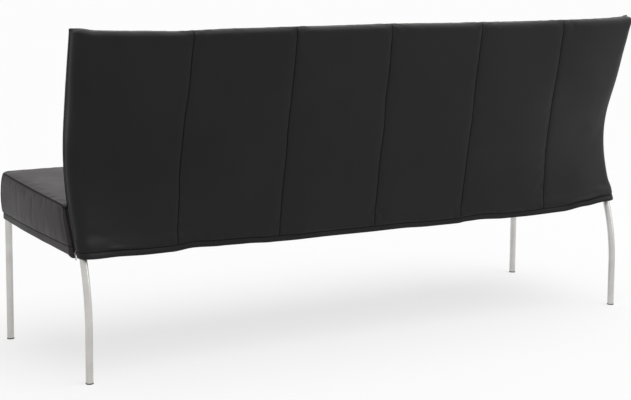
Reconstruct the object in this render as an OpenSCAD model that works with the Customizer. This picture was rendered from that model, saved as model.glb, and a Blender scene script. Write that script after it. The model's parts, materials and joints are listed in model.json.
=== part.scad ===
// Dining sofa: a long armless bench seat with a high, leaning back.
// Front is -Y, up is +Z, and the origin is on the floor under the middle of the bounding box.
// Left and right are those of a person who sits on it, so left is +X.

/* [Overall] */
// Width over the seat and over the top of the back
sofa_w = 1880; // [1400:10:2200]
// Height of the straight top edge of the back
sofa_h = 920; // [860:5:980]
// Depth from the seat's front to the rearmost point of the back
sofa_d = 620; // [590:5:660]

/* [Seat] */
// Height of the seat's crown at its front edge
seat_h = 488; // [470:1:510]
// Thickness of the whole upholstered seat
seat_t = 132; // [126:1:150]
// Fall of the seat towards the back, in degrees
seat_tilt = 2.8; // [1.5:0.1:3.5]
// Rise of each sewn channel above its seams
seat_crown = 6; // [3:0.5:9]
// Outward swell of the seat's borders
border_bulge = 2; // [1:0.5:4]
// Thickness of the padded borders
border_t = 12; // [8:1:14]
// Plan radius of the seat's front corners
corner_r = 24; // [22:1:34]
// Height of the lower band at the seat's front
band_front_h = 14; // [10:1:18]
// Height of the lower band at its rear end
band_rear_h = 22; // [16:1:28]
// Thickness of the folded leather in bands and hems
band_t = 2; // [1.5:0.5:3]

/* [Back] */
// Lean of the back's middle from the vertical, in degrees
back_rake = 9; // [6:0.5:11]
// Thickness of the back at its ends
slab_t = 50; // [46:1:60]
// How far the ends are drawn forward at the waist
waist_depth = 73; // [50:1:85]
// Extra thickness of the middle at the waist
lumbar = 35; // [20:1:45]
// How far the top edge's ends stand ahead of its middle
end_top_forward = 35; // [20:1:45]
// How far the hem's ends stand behind its middle
end_low_back = 26; // [15:1:32]
// Narrowing of the back on each side at its hem
hem_draw = 26; // [16:1:32]
// Height of the rear hem's lower edge in the middle
hem_h = 319; // [305:1:325]
// How much higher the hem is at its ends
hem_rise = 12; // [6:1:16]
// Height of the rear hem band
hem_band_h = 16; // [10:1:22]
// Rise of the two top corners above the straight edge
ear_rise = 8; // [4:1:12]
// Radius of the rear vertical corners
end_r = 32; // [26:1:36]
// Radius of the rear top edge
top_r = 14; // [10:1:18]
// Thickness of a rear or front panel at its seams
panel_t = 4; // [3:0.5:6]
// Swell of the rear panels
rear_crown = 2; // [1:0.5:3]
// Swell of the front panels
front_crown = 8; // [4:0.5:11]
// Number of sewn panels across the sofa
panels = 6; // [6:2:6]

/* [Legs] */
// Outer diameter of the leg tubes
leg_d = 20; // [18:0.5:24]
// Wall of the leg tubes
leg_wall = 2; // [1.5:0.5:3]
// Distance of a rear foot's axis from the rearmost point of the back
rear_foot_in = 68; // [60:1:76]
// Distance of a rear foot's axis from the side
rear_foot_side = 41; // [38:1:50]
// Distance of a front leg's axis from the seat's front
front_leg_in = 22; // [20:1:28]
// Height at which a rear leg starts to bend
bend_h = 136; // [100:1:160]
// Radius of a rear leg's bend
bend_r = 555; // [480:5:700]
// Visible thickness of a glide
glide_t = 3; // [2:0.5:5]
// How far a glide's rim stands out of its tube
glide_rim = 0.6; // [0.3:0.1:1.2]

/* [Frame] */
// Thickness of the wooden seat rails
rail_t = 25; // [20:1:30]
// Height of the wooden seat rails
rail_h = 50; // [44:1:54]
// Distance of the wooden frame from the seat's sides
frame_side_in = 35; // [33:1:42]
// Distance of the wooden frame from the seat's front
frame_front_in = 24; // [22:1:30]
// Distance of the wooden frame from the middle of the rear hem
frame_rear_in = 39; // [37:1:60]
// Outer diameter of the back's steel tubes
tube_d = 16; // [14:0.5:18]
// Distance of the back's tubes from the rear surface, to their axes
tube_in = 24; // [22:0.5:26]
// Thickness of the steel leg plates and brackets
plate_t = 4; // [3:0.5:5]
// Thickness of the seat foam
foam_t = 49; // [43:1:51]
// Width of an elastic strap
strap_w = 50; // [40:1:60]
// Thickness of an elastic strap
strap_t = 1.5; // [1:0.1:2]
// Number of straps under the seat
seat_straps = 11; // [7:1:13]
// Number of straps in the back
back_straps = 5; // [3:1:6]

/* [Fasteners] */
// Diameter of the leg screws
screw_d = 5; // [4:0.5:6]
// Length of the leg screws in the wood
screw_l = 28; // [20:1:34]
// Diameter of a screw or bolt head
head_d = 10; // [8:0.5:12]
// Height of a screw or bolt head
head_h = 2.6; // [2:0.1:3]
// Length of a staple's crown
staple_l = 10; // [6:1:12]
// Number of staples along a rail
staples_per_rail = 19; // [9:2:31]

/* [Zip] */
// Diameter of the zip's coil
zip_d = 3; // [2.6:0.1:3.4]
// Length of the zip slider
slider_l = 12; // [9:1:14]
// Width of the zip slider
slider_w = 4; // [3.6:0.1:4.4]
// Length of the zip's pull tab
pull_l = 18; // [12:1:24]
// Width of the pull tab
pull_w = 5; // [4:0.5:6]

/* [Hidden] */

// Colours
leather = "#2b2b2b";
top_leather = "#5a5757";
steel = "#b9b6af";
plastic = "#3a3a3a";
timber = "#c7a26b";
foam_colour = "#e6dfb8";
cloth = "#1c1c1c";
strap_colour = "#6b6b6b";

// Clearances
gap = 0.3;
tuck_gap = 1;
bolt_clear = 0.05;
pin_clear = 0.15;
plug_clear = 0.15;

// Facets
round_fn = 48;
arc_steps = 4;
top_steps = 3;
foam_cols = 8;
face_steps = 10;
cross_steps = 6;
front_steps = 9;
seat_steps = 8;
last_splits = 3;
border_rows = 4;
tube_sides = 12;
tube_steps = 18;

// Thin and small pieces
felt_t = 3;
dust_t = 1;
dust_in = 4;
staple_t = 0.6;
staple_w = 1.2;
lug_t = 1;
knuckle_w = 2.4;
knuckle_r = 1.6;
pin_r = 0.7;
pull_t = 1.2;

// Length over which the rear ends of the seat's sides are drawn in
tuck_l = 38;

// Places worked out from the driving sizes
half = sofa_w / 2;
pitch = sofa_w / panels;
seat_half = half - border_bulge;
low_half = half - hem_draw;
rear_y = sofa_d / 2 + top_r * tan(back_rake);
seat_y = -sofa_d / 2;
seat_z = seat_h - seat_t;
rear_foot_y = sofa_d / 2 - rear_foot_in;
rear_foot_x = half - rear_foot_side;
leg_r = leg_d / 2;
front_leg_x = seat_half - band_t - tuck_gap - leg_r;
tube_r = tube_d / 2;
seam_z = seat_t - seat_crown;

// Heights in the seat's own tilted frame
plate_z = 4;
rail_z = plate_z + plate_t;
strap_z = rail_z + rail_h;
felt_z = strap_z + strap_t + gap;
foam_z = felt_z + felt_t + gap;
pad_z = foam_z + foam_t + gap;
frame_half = half - frame_side_in;

// Shapes of the back as shares
draw_share = 0.55;
waist_skew_share = 0.8;
waist_fullness_share = 1.3;
ear_start_share = 0.8;
hem_start_share = 0.6;
puff_share = 0.5;
tuck_share = 0.25;
tuck_curve_share = 1.5;
tuck_thin_share = 0.6;
cross_high_share = 0.6;

function unit(v) = min(1, max(0, v));
function level(z) = unit((z - hem_h) / (sofa_h - hem_h));

// Half width of the back at a level from 0 at the hem to 1 at the top
function back_half(t) = low_half + (half - low_half) * (draw_share * t + (1 - draw_share) * t * t);

// Depth of the waist, from 0 at the hem and the top to 1 at the small of the back
function waist(t) = pow(sin(180 * pow(t, waist_skew_share)), waist_fullness_share);

// Weight of the end's curve: 0 over the middle panels and 1 at the rounded end
function end_weight(x, t) = pow(unit((abs(x) - pitch) / (back_half(t) - end_r - pitch)), 2);
function middle_y(t) = rear_y - (1 - t) * (sofa_h - hem_h) * tan(back_rake);
function end_low_y() = middle_y(0) + end_low_back;
function end_line_y(t) = end_low_y() + t * (rear_y - end_top_forward - end_low_y());
function end_y(t) = end_line_y(t) - waist_depth * waist(t);

// Rear and front surfaces of the back, before the panels swell
function back_y(x, t) = middle_y(t) + (end_y(t) - middle_y(t)) * end_weight(x, t);
function front_y(x, t) = back_y(x, t) - slab_t - lumbar * (1 - end_weight(x, t)) * waist(t);
function end_rise(x, start) = pow(unit((abs(x) / half - start) / (1 - start)), 2);
function top_z(x) = sofa_h + ear_rise * end_rise(x, ear_start_share);
function hem_z(x) = hem_h + hem_rise * end_rise(x, hem_start_share);
function puff(f) = pow(max(0, sin(180 * f)), puff_share);

// Side seam between the rear and the front cover, where the zip lies
function seam_y(t) = end_y(t) - slab_t;
zip_y_in = panel_t + 2 * tuck_gap + zip_d / 2;
side_end_in = panel_t + zip_d + 3 * tuck_gap;

// The seat lies in a frame of its own that falls towards the back
module in_seat() {
    translate([0, seat_y, seat_z])
        rotate([-seat_tilt, 0, 0])
            children();
}
function seat_floor_y(y, z) = seat_y + y * cos(seat_tilt) + z * sin(seat_tilt);
function seat_floor_z(y, z) = seat_z - y * sin(seat_tilt) + z * cos(seat_tilt);
function seat_run(yg, z) = (yg - seat_y - z * sin(seat_tilt)) / cos(seat_tilt);
frame_rear = seat_run(middle_y(0) - frame_rear_in, rail_z);
frame_l = frame_rear - frame_front_in;

// A closed skin between two grids of points
// The first grid faces +Y where its rows rise and its columns run to +X
function flat(rows) = [for (row = rows) each row];
function rim(rows, cols) = concat(
    [for (c = [0 : cols - 2]) c],
    [for (r = [0 : rows - 2]) r * cols + cols - 1],
    [for (c = [cols - 1 : -1 : 1]) (rows - 1) * cols + c],
    [for (r = [rows - 1 : -1 : 1]) r * cols]);
function grid_faces(rows, cols, first, turned) = [
    for (r = [0 : rows - 2], c = [0 : cols - 2], k = [0, 1])
        let (a = first + r * cols + c, b = a + 1, d = a + cols, e = d + 1)
            turned
                ? (k == 0 ? [a, e, b] : [a, d, e])
                : (k == 0 ? [a, b, e] : [a, e, d])];
function rim_faces(rows, cols) =
    let (edge = rim(rows, cols), n = len(edge), m = rows * cols) [
        for (i = [0 : n - 1], k = [0, 1])
            let (a = edge[i], b = edge[(i + 1) % n])
                k == 0 ? [a, b + m, b] : [a, a + m, b + m]];
module skin(first, second) {
    rows = len(first);
    cols = len(first[0]);
    polyhedron(
        points = concat(flat(first), flat(second)),
        faces = concat(
            grid_faces(rows, cols, 0, false),
            grid_faces(rows, cols, rows * cols, true),
            rim_faces(rows, cols)),
        convexity = 6);
}

// A round bar along a path, as rings square to the path
function heading(path, i) =
    let (a = path[max(0, i - 1)], b = path[min(len(path) - 1, i + 1)])
        (b - a) / norm(b - a);
module bar(path, r, side) {
    n = tube_sides;
    last = (len(path) - 1) * n;
    rings = [for (i = [0 : len(path) - 1])
        let (d = heading(path, i), u = cross(d, side) / norm(cross(d, side)), v = cross(d, u))
            [for (k = [0 : n - 1]) path[i] + r * (cos(360 * k / n) * u + sin(360 * k / n) * v)]];
    polyhedron(
        points = flat(rings),
        faces = concat(
            [[for (k = [0 : n - 1]) k]],
            [[for (k = [n - 1 : -1 : 0]) last + k]],
            [for (i = [0 : len(path) - 2], k = [0 : n - 1], j = [0, 1])
                let (a = i * n + k, b = i * n + (k + 1) % n)
                    j == 0 ? [a, a + n, b + n] : [a, b + n, b]]),
        convexity = 6);
}

// A block between two corners
module block(a, b) {
    translate(a)
        cube(b - a);
}

// Rear cover: plan points of a panel at one level, set in from the surface by e
function seam_trim(f, outer) = f == 0 ? gap / 2 : f == 1 && !outer ? -gap / 2 : 0;
function is_end(k) = k == panels / 2 - 1;
function plan_middle(k, t, e, swell) = [
    for (i = [0 : cross_steps])
        let (f = i / cross_steps, x = (k + f) * pitch)
            [x + seam_trim(f, false), back_y(x, t) - e + swell * puff(f)]];
function plan_end(x0, steps, t, e, swell, tail) =
    let (w = back_half(t), r = max(end_r - e, gap), c = e + r, y = end_y(t))
        concat(
            [for (i = [0 : steps])
                let (f = i / steps, x = x0 + f * (w - c - x0))
                    [x, back_y(x, t) - e + swell * puff(f)]],
            [for (j = [1 : arc_steps])
                let (a = 90 * j / arc_steps)
                    [w - c + r * sin(a), y - c + r * cos(a)]],
            [[w - e, y - slab_t + tail]]);
function plan(k, t, e, swell, tail) = is_end(k)
    ? plan_end(k * pitch + gap / 2, cross_steps, t, e, swell, tail)
    : plan_middle(k, t, e, swell);

// Rear cover panel, from the hem band over the rounded top to the front seam
function face_level(f) = level(hem_h + hem_band_h + f * (sofa_h - top_r - hem_h - hem_band_h));
function face_z(x, f) =
    let (low = hem_z(x) + hem_band_h + gap)
        low + f * (top_z(x) - top_r - low);
function rear_rows(k, skin_t, swell) = concat(
    [for (i = [0 : face_steps])
        let (f = i / face_steps)
            [for (p = plan(k, face_level(f), skin_t, swell * puff(f), side_end_in))
                [p[0], p[1], face_z(p[0], f)]]],
    [for (i = [1 : top_steps])
        let (a = 90 * i / top_steps, r = top_r - skin_t, t = level(sofa_h - top_r + r * sin(a)))
            [for (p = plan(k, t, top_r - r * cos(a), 0, side_end_in))
                [p[0], p[1], top_z(p[0]) - top_r + r * sin(a)]]],
    [[for (p = plan(k, 1, slab_t - panel_t - band_t, 0, panel_t + tuck_gap + gap))
        [p[0], p[1], top_z(p[0]) - skin_t]]]);
module rear_panel(k) {
    color(leather)
        skin(rear_rows(k, 0, rear_crown), rear_rows(k, panel_t, 0));
}

// Rear hem band, one folded strip from side seam to side seam
function hem_half(t, e) = plan_end(0, 2 * cross_steps, t, e, 0, side_end_in);
function both_sides(p) = concat([for (i = [len(p) - 1 : -1 : 1]) [-p[i][0], p[i][1]]], p);
function hem_row(e, f) = [
    for (p = both_sides(hem_half(level(hem_h + f * hem_band_h), e)))
        [p[0], p[1], hem_z(p[0]) + f * hem_band_h]];
module rear_hem() {
    color(leather)
        skin([hem_row(0, 0), hem_row(0, 1)], [hem_row(band_t, 0), hem_row(band_t, 1)]);
}

// Front cover panel, a pad with a flat inner face that ends just below the top of the seat
front_low_z = seat_floor_z(frame_rear, seam_z) - border_t;
function front_level(f) = level(front_low_z + f * (sofa_h - front_low_z));
function front_z(x, f) = front_low_z + f * (top_z(x) - gap - front_low_z);
function front_x(k, g, t) = (k + g) * pitch + (is_end(k) ? g * (back_half(t) - half) : 0);
function front_rows(k, set_in, swell) = [
    for (i = [0 : front_steps])
        let (f = i / front_steps, t = front_level(f))
            [for (j = [0 : cross_steps])
                let (g = j / cross_steps, x = front_x(k, g, t), out = swell * puff(g) * swell_up(f))
                    [x + seam_trim(g, is_end(k)), front_y(x, t) + set_in - out, front_z(x, f)]]];
function swell_up(f) = pow(max(0, sin(90 + 90 * f)), puff_share) * unit(f / tuck_share);
module front_panel(k) {
    color(leather)
        skin(front_rows(k, panel_t, 0), front_rows(k, 0, front_crown));
}

// Foam of the back, between the straps and the front panels
foam_low_z = front_low_z - foam_t / 2;
foam_top_z = sofa_h - tube_in + tube_r;
function strap_y(i, z) = post_y(i, z) - tube_r - 3 * gap;
function strap_front_y(x, z) =
    lookup(abs(x), [for (i = [0 : 2]) [post_x(i, z), strap_y(i, z) - strap_t]]);
foam_heights = concat([foam_low_z],
    [for (i = [0 : front_steps - 1]) front_z(0, i / front_steps)],
    [foam_top_z]);
function foam_front_y(x, t) = front_y(x, t) + panel_t + tuck_gap;
function foam_back_y(x, z) = strap_front_y(x, z) - strap_t - tuck_gap;
function foam_rows(front) = [
    for (z = foam_heights)
        let (t = level(z), w = back_half(t) - panel_t - tuck_gap)
            [for (j = [-foam_cols : foam_cols])
                let (x = j / foam_cols * w)
                    [x, front ? foam_front_y(x, t) : foam_back_y(x, z), z]]];
module back_foam() {
    color(foam_colour)
        skin(foam_rows(false), foam_rows(true));
}

// Steel frame of the back: two bent end uprights, three straight posts and a top rail
upright_in = tube_in - band_t;
post_low_z = seat_floor_z(frame_rear, rail_z) + plate_t;
post_low_y = seat_floor_y(frame_rear + plate_t, rail_z) + tube_r - strap_t;
rail_axis_z = sofa_h - tube_in;
function post_x(i, z) = i < 2 ? i * pitch : back_half(level(z)) - upright_in;
function post_high_y(i) = back_y(i * pitch, level(rail_axis_z)) - tube_in;
function post_y(i, z) = i == 2
    ? end_y(level(z)) - tube_in
    : post_low_y + (z - post_low_z) / (rail_axis_z - post_low_z) * (post_high_y(i) - post_low_y);
module end_upright() {
    low = post_low_z;
    high = rail_axis_z + tube_r;
    color(steel)
        bar([for (i = [0 : tube_steps])
            let (z = low + i / tube_steps * (high - low))
                [post_x(2, z), post_y(2, z), z]],
            tube_r, [1, 0, 0]);
}
module middle_post(i) {
    head_z = rail_axis_z - tube_r - gap;
    foot = [i * pitch, post_y(abs(i), post_low_z), post_low_z];
    head = [i * pitch, post_y(abs(i), head_z), head_z];
    lean = atan((head[1] - foot[1]) / (head[2] - foot[2]));
    long = norm(head - foot);
    difference() {
        translate(foot)
            rotate([-lean, 0, 0])
                difference() {
                    cylinder(r = tube_r, h = long, $fn = round_fn);
                    translate([0, 0, -tube_r])
                        cylinder(r = tube_r - leg_wall, h = long + 2 * tube_r, $fn = round_fn);
                }
        in_seat()
            block([-sofa_w, -sofa_d, -sofa_d], [sofa_w, frame_rear + plate_t, sofa_h]);
    }
}
module middle_posts() {
    color(steel)
        for (i = [-1 : 1])
            middle_post(i);
}
module top_rail() {
    reach = post_x(2, rail_axis_z) - tube_r - gap;
    color(steel)
        bar([for (i = [-tube_steps : tube_steps])
            let (x = i / tube_steps * reach) [x, back_y(x, level(rail_axis_z)) - tube_in, rail_axis_z]],
            tube_r, [0, 0, 1]);
}

// Brackets that carry the posts on the rear rail
bracket_w = 3 * tube_d + plate_t;
bracket_h = rail_h - plate_t;
gusset_x = post_x(2, post_low_z) - tube_r - plate_t - gap;
function bracket_x(i) = abs(i) < 2 ? i * pitch : sign(i) * (gusset_x + plate_t - bracket_w / 2);
bolt_z = [bracket_h / 4, bracket_h * 3 / 4];
bolt_side = tube_d - band_t;
module bolt_places() {
    for (i = [-2 : 2], s = [-1, 1], z = bolt_z)
        translate([bracket_x(i) + s * bolt_side, frame_rear + plate_t, rail_z + z])
            rotate([90, 0, 0])
                children();
}
module post_brackets() {
    color(steel)
        in_seat()
            difference() {
                union() {
                    for (i = [-2 : 2])
                        translate([bracket_x(i) - bracket_w / 2, frame_rear, rail_z])
                            cube([bracket_w, plate_t, bracket_h]);
                    for (s = [0, 1])
                        mirror([s, 0, 0])
                            block([gusset_x, frame_rear, rail_z],
                                [gusset_x + plate_t, frame_rear + plate_t + tube_d, rail_z + bracket_h]);
                }
                bolt_places()
                    translate([0, 0, -plate_t])
                        cylinder(d = screw_d + 2 * bolt_clear, h = 3 * plate_t, $fn = round_fn);
            }
}
module bracket_bolts() {
    color(steel)
        in_seat()
            bolt_places() {
                translate([0, 0, -head_h])
                    cylinder(d = head_d, h = head_h, $fn = round_fn);
                cylinder(d = screw_d, h = plate_t + rail_t - head_h, $fn = round_fn);
            }
}

// Wooden frame of the seat
module rear_rail() {
    color(timber)
        in_seat()
            difference() {
                block([-frame_half, frame_rear - rail_t, rail_z],
                    [frame_half, frame_rear, strap_z]);
                bolt_places()
                    cylinder(d = screw_d + 2 * bolt_clear, h = plate_t + rail_t - head_h, $fn = round_fn);
                screw_places()
                    screw_hole();
            }
}
module front_rail() {
    color(timber)
        in_seat()
            difference() {
                block([-frame_half, frame_front_in, rail_z],
                    [frame_half, frame_front_in + rail_t, strap_z]);
                screw_places()
                    screw_hole();
            }
}
module side_rails() {
    color(timber)
        in_seat()
            difference() {
                for (s = [0, 1])
                    mirror([s, 0, 0])
                        block([frame_half - rail_t, frame_front_in + rail_t, rail_z],
                            [frame_half, frame_rear - rail_t, strap_z]);
                screw_places()
                    screw_hole();
            }
}
module cross_rails() {
    color(timber)
        in_seat()
            for (i = [1 - panels / 2 : panels / 2 - 1])
                translate([i * pitch - rail_t / 2, frame_front_in + rail_t, rail_z])
                    cube([rail_t, frame_l - 2 * rail_t, cross_high_share * rail_h]);
}
module corner_blocks() {
    leg = 2 * rail_t;
    color(timber)
        in_seat()
            for (s = [0, 1], p = [[frame_front_in + rail_t, leg], [frame_rear - rail_t, -leg]])
                mirror([s, 0, 0])
                    translate([frame_half - rail_t, p[0], rail_z])
                        linear_extrude(cross_high_share * rail_h)
                            polygon([[0, 0], [-leg, 0], [0, p[1]]]);
}

// Straps, felt and foam of the seat
function seat_edge(e) = let (x = seat_half - corner_r) concat(
    [for (j = [0 : arc_steps])
        let (a = 90 * j / arc_steps)
            [-x - (corner_r - e) * cos(a), corner_r - (corner_r - e) * sin(a)]],
    [for (i = [1 : 2 * cross_steps]) [-x + i / cross_steps * x, e]],
    [for (j = [1 : arc_steps])
        let (a = 90 * j / arc_steps)
            [x + (corner_r - e) * sin(a), corner_r - (corner_r - e) * cos(a)]]);
foam_rear = seat_run(seam_y(level(front_low_z)), pad_z) - tuck_gap;
module seat_webbing() {
    step = 2 * (frame_half - rail_t) / seat_straps;
    last = (seat_straps - 1) / 2;
    color(strap_colour)
        in_seat()
            for (i = [-last : last])
                translate([i * step, frame_front_in + frame_l / 2, strap_z + strap_t / 2])
                    cube([strap_w, frame_l - rail_t / 2, strap_t], center = true);
}
module seat_felt() {
    color(cloth)
        in_seat()
            block([-frame_half, frame_front_in, felt_z], [frame_half, foam_rear, felt_z + felt_t]);
}
module seat_foam() {
    e = border_t + gap;
    color(foam_colour)
        in_seat()
            translate([0, 0, foam_z])
                linear_extrude(foam_t)
                    polygon(concat(seat_edge(e), [
                        [seat_half - e, foam_rear - tuck_l],
                        [frame_half, foam_rear],
                        [-frame_half, foam_rear],
                        [e - seat_half, foam_rear - tuck_l]]));
}
module side_foam() {
    high = foam_z - gap;
    outer = seat_half - border_t - gap;
    color(foam_colour)
        in_seat() {
            block([-frame_half, border_t + gap, rail_z], [frame_half, frame_front_in - gap, high]);
            for (s = [0, 1])
                mirror([s, 0, 0])
                    block([frame_half + gap, corner_r, rail_z], [outer, foam_rear - tuck_l, high]);
        }
}

// Rear ends of the seat's sides, which are drawn in to meet the back's side seams
function floor_level(z) = level(seat_floor_z(frame_rear - tuck_l, z));
function side_rear(z) = seat_run(seam_y(floor_level(z)), z) - tuck_gap;
function tuck(y, z) = pow(unit(1 - (side_rear(z) - y) / tuck_l), tuck_curve_share);
function side_x(y, z) = seat_half - tuck(y, z) * (seat_half - back_half(floor_level(z)));
function band_h(y) = band_front_h + (band_rear_h - band_front_h) * y / frame_rear;

// Steps along a side, the last of which is split where the side is drawn in
side_steps = concat(
    [for (i = [0 : seat_steps - 2]) i / seat_steps],
    [for (i = [0 : last_splits]) (seat_steps - 1 + i / last_splits) / seat_steps]);
function side_run(g, z) = corner_r + gap / 2 + g * (side_rear(z) - corner_r);

// Padded side border: columns run to the rear and rows rise
function border_out(y, z, f, skin_t) = skin_t == 0
    ? border_bulge * puff(f) * (1 - tuck(y, z))
    : -skin_t * (1 - tuck_thin_share * tuck(y, z));
function border_skin(skin_t, top) = [
    for (r = [0 : border_rows])
        let (f = r / border_rows, z0 = band_front_h + gap, z1 = z0 + f * (top - z0))
            [for (g = side_steps)
                let (y = side_run(g, z1), low = band_h(y) + gap)
                    [side_x(y, z1) + border_out(y, z1, f, skin_t), y, low + f * (top - low)]]];
module side_border() {
    color(top_leather)
        in_seat()
            skin(border_skin(border_t, pad_z - gap), border_skin(0, seam_z - gap));
}
function front_border_row(f, skin_t, top) =
    let (low = band_front_h + gap, z = low + f * (top - low))
        [for (p = seat_edge(skin_t == 0 ? -border_bulge * puff(f) : skin_t)) [p[0], p[1], z]];
function front_border_skin(skin_t, top) =
    [for (r = [0 : border_rows]) front_border_row(r / border_rows, skin_t, top)];
module seat_border_front() {
    color(top_leather)
        in_seat()
            skin(front_border_skin(border_t, pad_z - gap), front_border_skin(0, seam_z - gap));
}

// Lower bands of folded leather, below the borders
function band_row(skin_t, top) = [
    for (g = side_steps)
        let (z = top ? band_front_h : 0, y = side_run(g, z))
            [side_x(y, z) - skin_t, y, top ? band_h(y) : 0]];
function band_skin(skin_t) = [for (top = [false, true]) band_row(skin_t, top)];
module side_bands() {
    color(top_leather)
        in_seat()
            for (s = [0, 1])
                mirror([s, 0, 0])
                    skin(band_skin(band_t), band_skin(0));
}
function front_band_skin(skin_t) =
    [for (z = [0, band_front_h]) [for (p = seat_edge(skin_t)) [p[0], p[1], z]]];
module front_band() {
    color(top_leather)
        in_seat()
            skin(front_band_skin(band_t), front_band_skin(0));
}

// Seat panel, a crowned pad with a flat underside
function panel_columns(k) = let (corner = corner_r / (seat_half - k * pitch)) is_end(k)
    ? concat(
        [for (i = [0 : cross_steps]) i / cross_steps * (1 - corner)],
        [for (j = [1 : arc_steps]) 1 - corner * (1 - sin(90 * j / arc_steps))])
    : [for (i = [0 : cross_steps]) i / cross_steps];
panel_steps = concat(
    [for (i = [0 : seat_steps - 1]) i / seat_steps],
    [1 - 1 / (last_splits * seat_steps), 1]);
function corner_y(x, r) = corner_r - sqrt(max(0, r * r - pow(max(0, x - seat_half + corner_r), 2)));
function panel_x(k, f, y, inset) =
    let (w = is_end(k) ? side_x(y, seam_z) - inset : (k + 1) * pitch)
        k * pitch + f * (w - k * pitch) + seam_trim(f, is_end(k));
function panel_rear(x) =
    let (t = floor_level(seam_z))
        seat_run(front_y(min(x, back_half(t)), t), seam_z) - tuck_gap;
function panel_y(x0, g, inset) =
    let (y0 = corner_y(x0, corner_r - inset))
        y0 + g * (panel_rear(x0) - y0);
function seat_rows(k, top) = [
    for (g = panel_steps)
        [for (f = panel_columns(k))
            let (inset = top ? 0 : border_t + gap, y = panel_y(panel_x(k, f, corner_r, inset), g, inset))
                [panel_x(k, f, y, inset), y, top ? seam_z + seat_crown * puff(f) * puff(g) : pad_z]]];
module seat_panel(k) {
    color(top_leather)
        in_seat()
            skin(seat_rows(k, false), seat_rows(k, true));
}

// Back straps, which run over the fronts of the posts
function strap_rows(low, out) = [
    for (z = [low, low + strap_w / 2, low + strap_w])
        [for (i = [-2 : 2]) [sign(i) * post_x(abs(i), z), strap_y(abs(i), z) - out, z]]];
module back_webbing() {
    step = (foam_top_z - foam_low_z - 2 * strap_w - tube_d) / (back_straps - 1);
    color(strap_colour)
        for (i = [0 : back_straps - 1]) {
            low = foam_low_z + strap_w / 2 + i * step;
            skin(strap_rows(low, 0), strap_rows(low, strap_t));
        }
}

// Leg plates, their screws, the legs and their glides
plate_x = frame_half - rail_t;
screw_x = frame_half - rail_t / 2;
front_plate = [[plate_x, front_leg_in, plate_z],
    [front_leg_x + leg_r, frame_front_in + 2 * rail_t, rail_z]];
front_plate_inner = [[plate_x, front_leg_in - leg_r, plate_z], [front_leg_x, front_leg_in, rail_z]];
rear_bend = asin((seat_floor_z(frame_rear, plate_z) - bend_h) / bend_r);
rear_leg_run = seat_run(rear_foot_y - bend_r * (1 - cos(rear_bend)), plate_z);
rear_plate = [[plate_x, frame_rear - 2 * rail_t, plate_z], [rear_foot_x + leg_r, rear_leg_run, rail_z]];
screw_ys = [frame_front_in + rail_t / 2, frame_front_in + 3 * rail_t / 2,
    frame_rear - rail_t / 2, frame_rear - 3 * rail_t / 2];
module screw_places() {
    for (s = [0, 1], y = screw_ys)
        mirror([s, 0, 0])
            translate([screw_x, y, plate_z])
                children();
}
module screw_hole() {
    cylinder(d = screw_d + 2 * bolt_clear, h = plate_t + screw_l, $fn = round_fn);
}
module plates(room) {
    for (s = [0, 1])
        mirror([s, 0, 0]) {
            for (p = [front_plate, front_plate_inner, rear_plate])
                block(p[0] - [room, room, room], p[1] + [room, room, room]);
            for (p = [[front_leg_x, front_leg_in], [rear_foot_x, rear_leg_run]])
                translate([p[0], p[1], plate_z - room])
                    cylinder(r = leg_r + room, h = plate_t + 2 * room, $fn = round_fn);
        }
}
module leg_plates() {
    color(steel)
        in_seat()
            difference() {
                plates(0);
                screw_places()
                    translate([0, 0, -head_h])
                        screw_hole();
            }
}
module leg_screws() {
    color(steel)
        in_seat()
            screw_places() {
                translate([0, 0, -head_h])
                    cylinder(d = head_d, h = head_h, $fn = round_fn);
                translate([0, 0, -head_h])
                    cylinder(d = screw_d, h = head_h + plate_t + screw_l - bolt_clear, $fn = round_fn);
            }
}
module above_plate() {
    in_seat()
        block([-sofa_w, -sofa_d, plate_z], [sofa_w, 2 * sofa_d, sofa_h]);
}
module front_leg() {
    color(steel)
        difference() {
            translate([front_leg_x, seat_y + front_leg_in, glide_t])
                difference() {
                    cylinder(d = leg_d, h = seat_h, $fn = round_fn);
                    translate([0, 0, -leg_wall])
                        cylinder(d = leg_d - 2 * leg_wall, h = seat_h + 2 * leg_wall, $fn = round_fn);
                }
            above_plate();
        }
}
module leg_ring() {
    difference() {
        circle(d = leg_d, $fn = round_fn);
        circle(d = leg_d - 2 * leg_wall, $fn = round_fn);
    }
}
module rear_leg() {
    sweep_angle = asin((seat_h - bend_h) / bend_r);
    color(steel)
        difference() {
            translate([rear_foot_x, rear_foot_y, 0]) {
                translate([0, 0, glide_t])
                    linear_extrude(bend_h - glide_t)
                        leg_ring();
                translate([0, -bend_r, bend_h])
                    rotate([90, 0, 90])
                        rotate_extrude(angle = sweep_angle, $fn = 4 * round_fn)
                            translate([bend_r, 0])
                                leg_ring();
            }
            above_plate();
        }
}
module glide(x, y) {
    color(plastic)
        translate([x, y, 0]) {
            cylinder(d = leg_d + 2 * glide_rim, h = glide_t, $fn = round_fn);
            cylinder(d = leg_d - 2 * leg_wall - 2 * plug_clear, h = leg_d, $fn = round_fn);
        }
}
module front_glide() {
    glide(front_leg_x, seat_y + front_leg_in);
}
module rear_glide() {
    glide(rear_foot_x, rear_foot_y);
}

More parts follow.
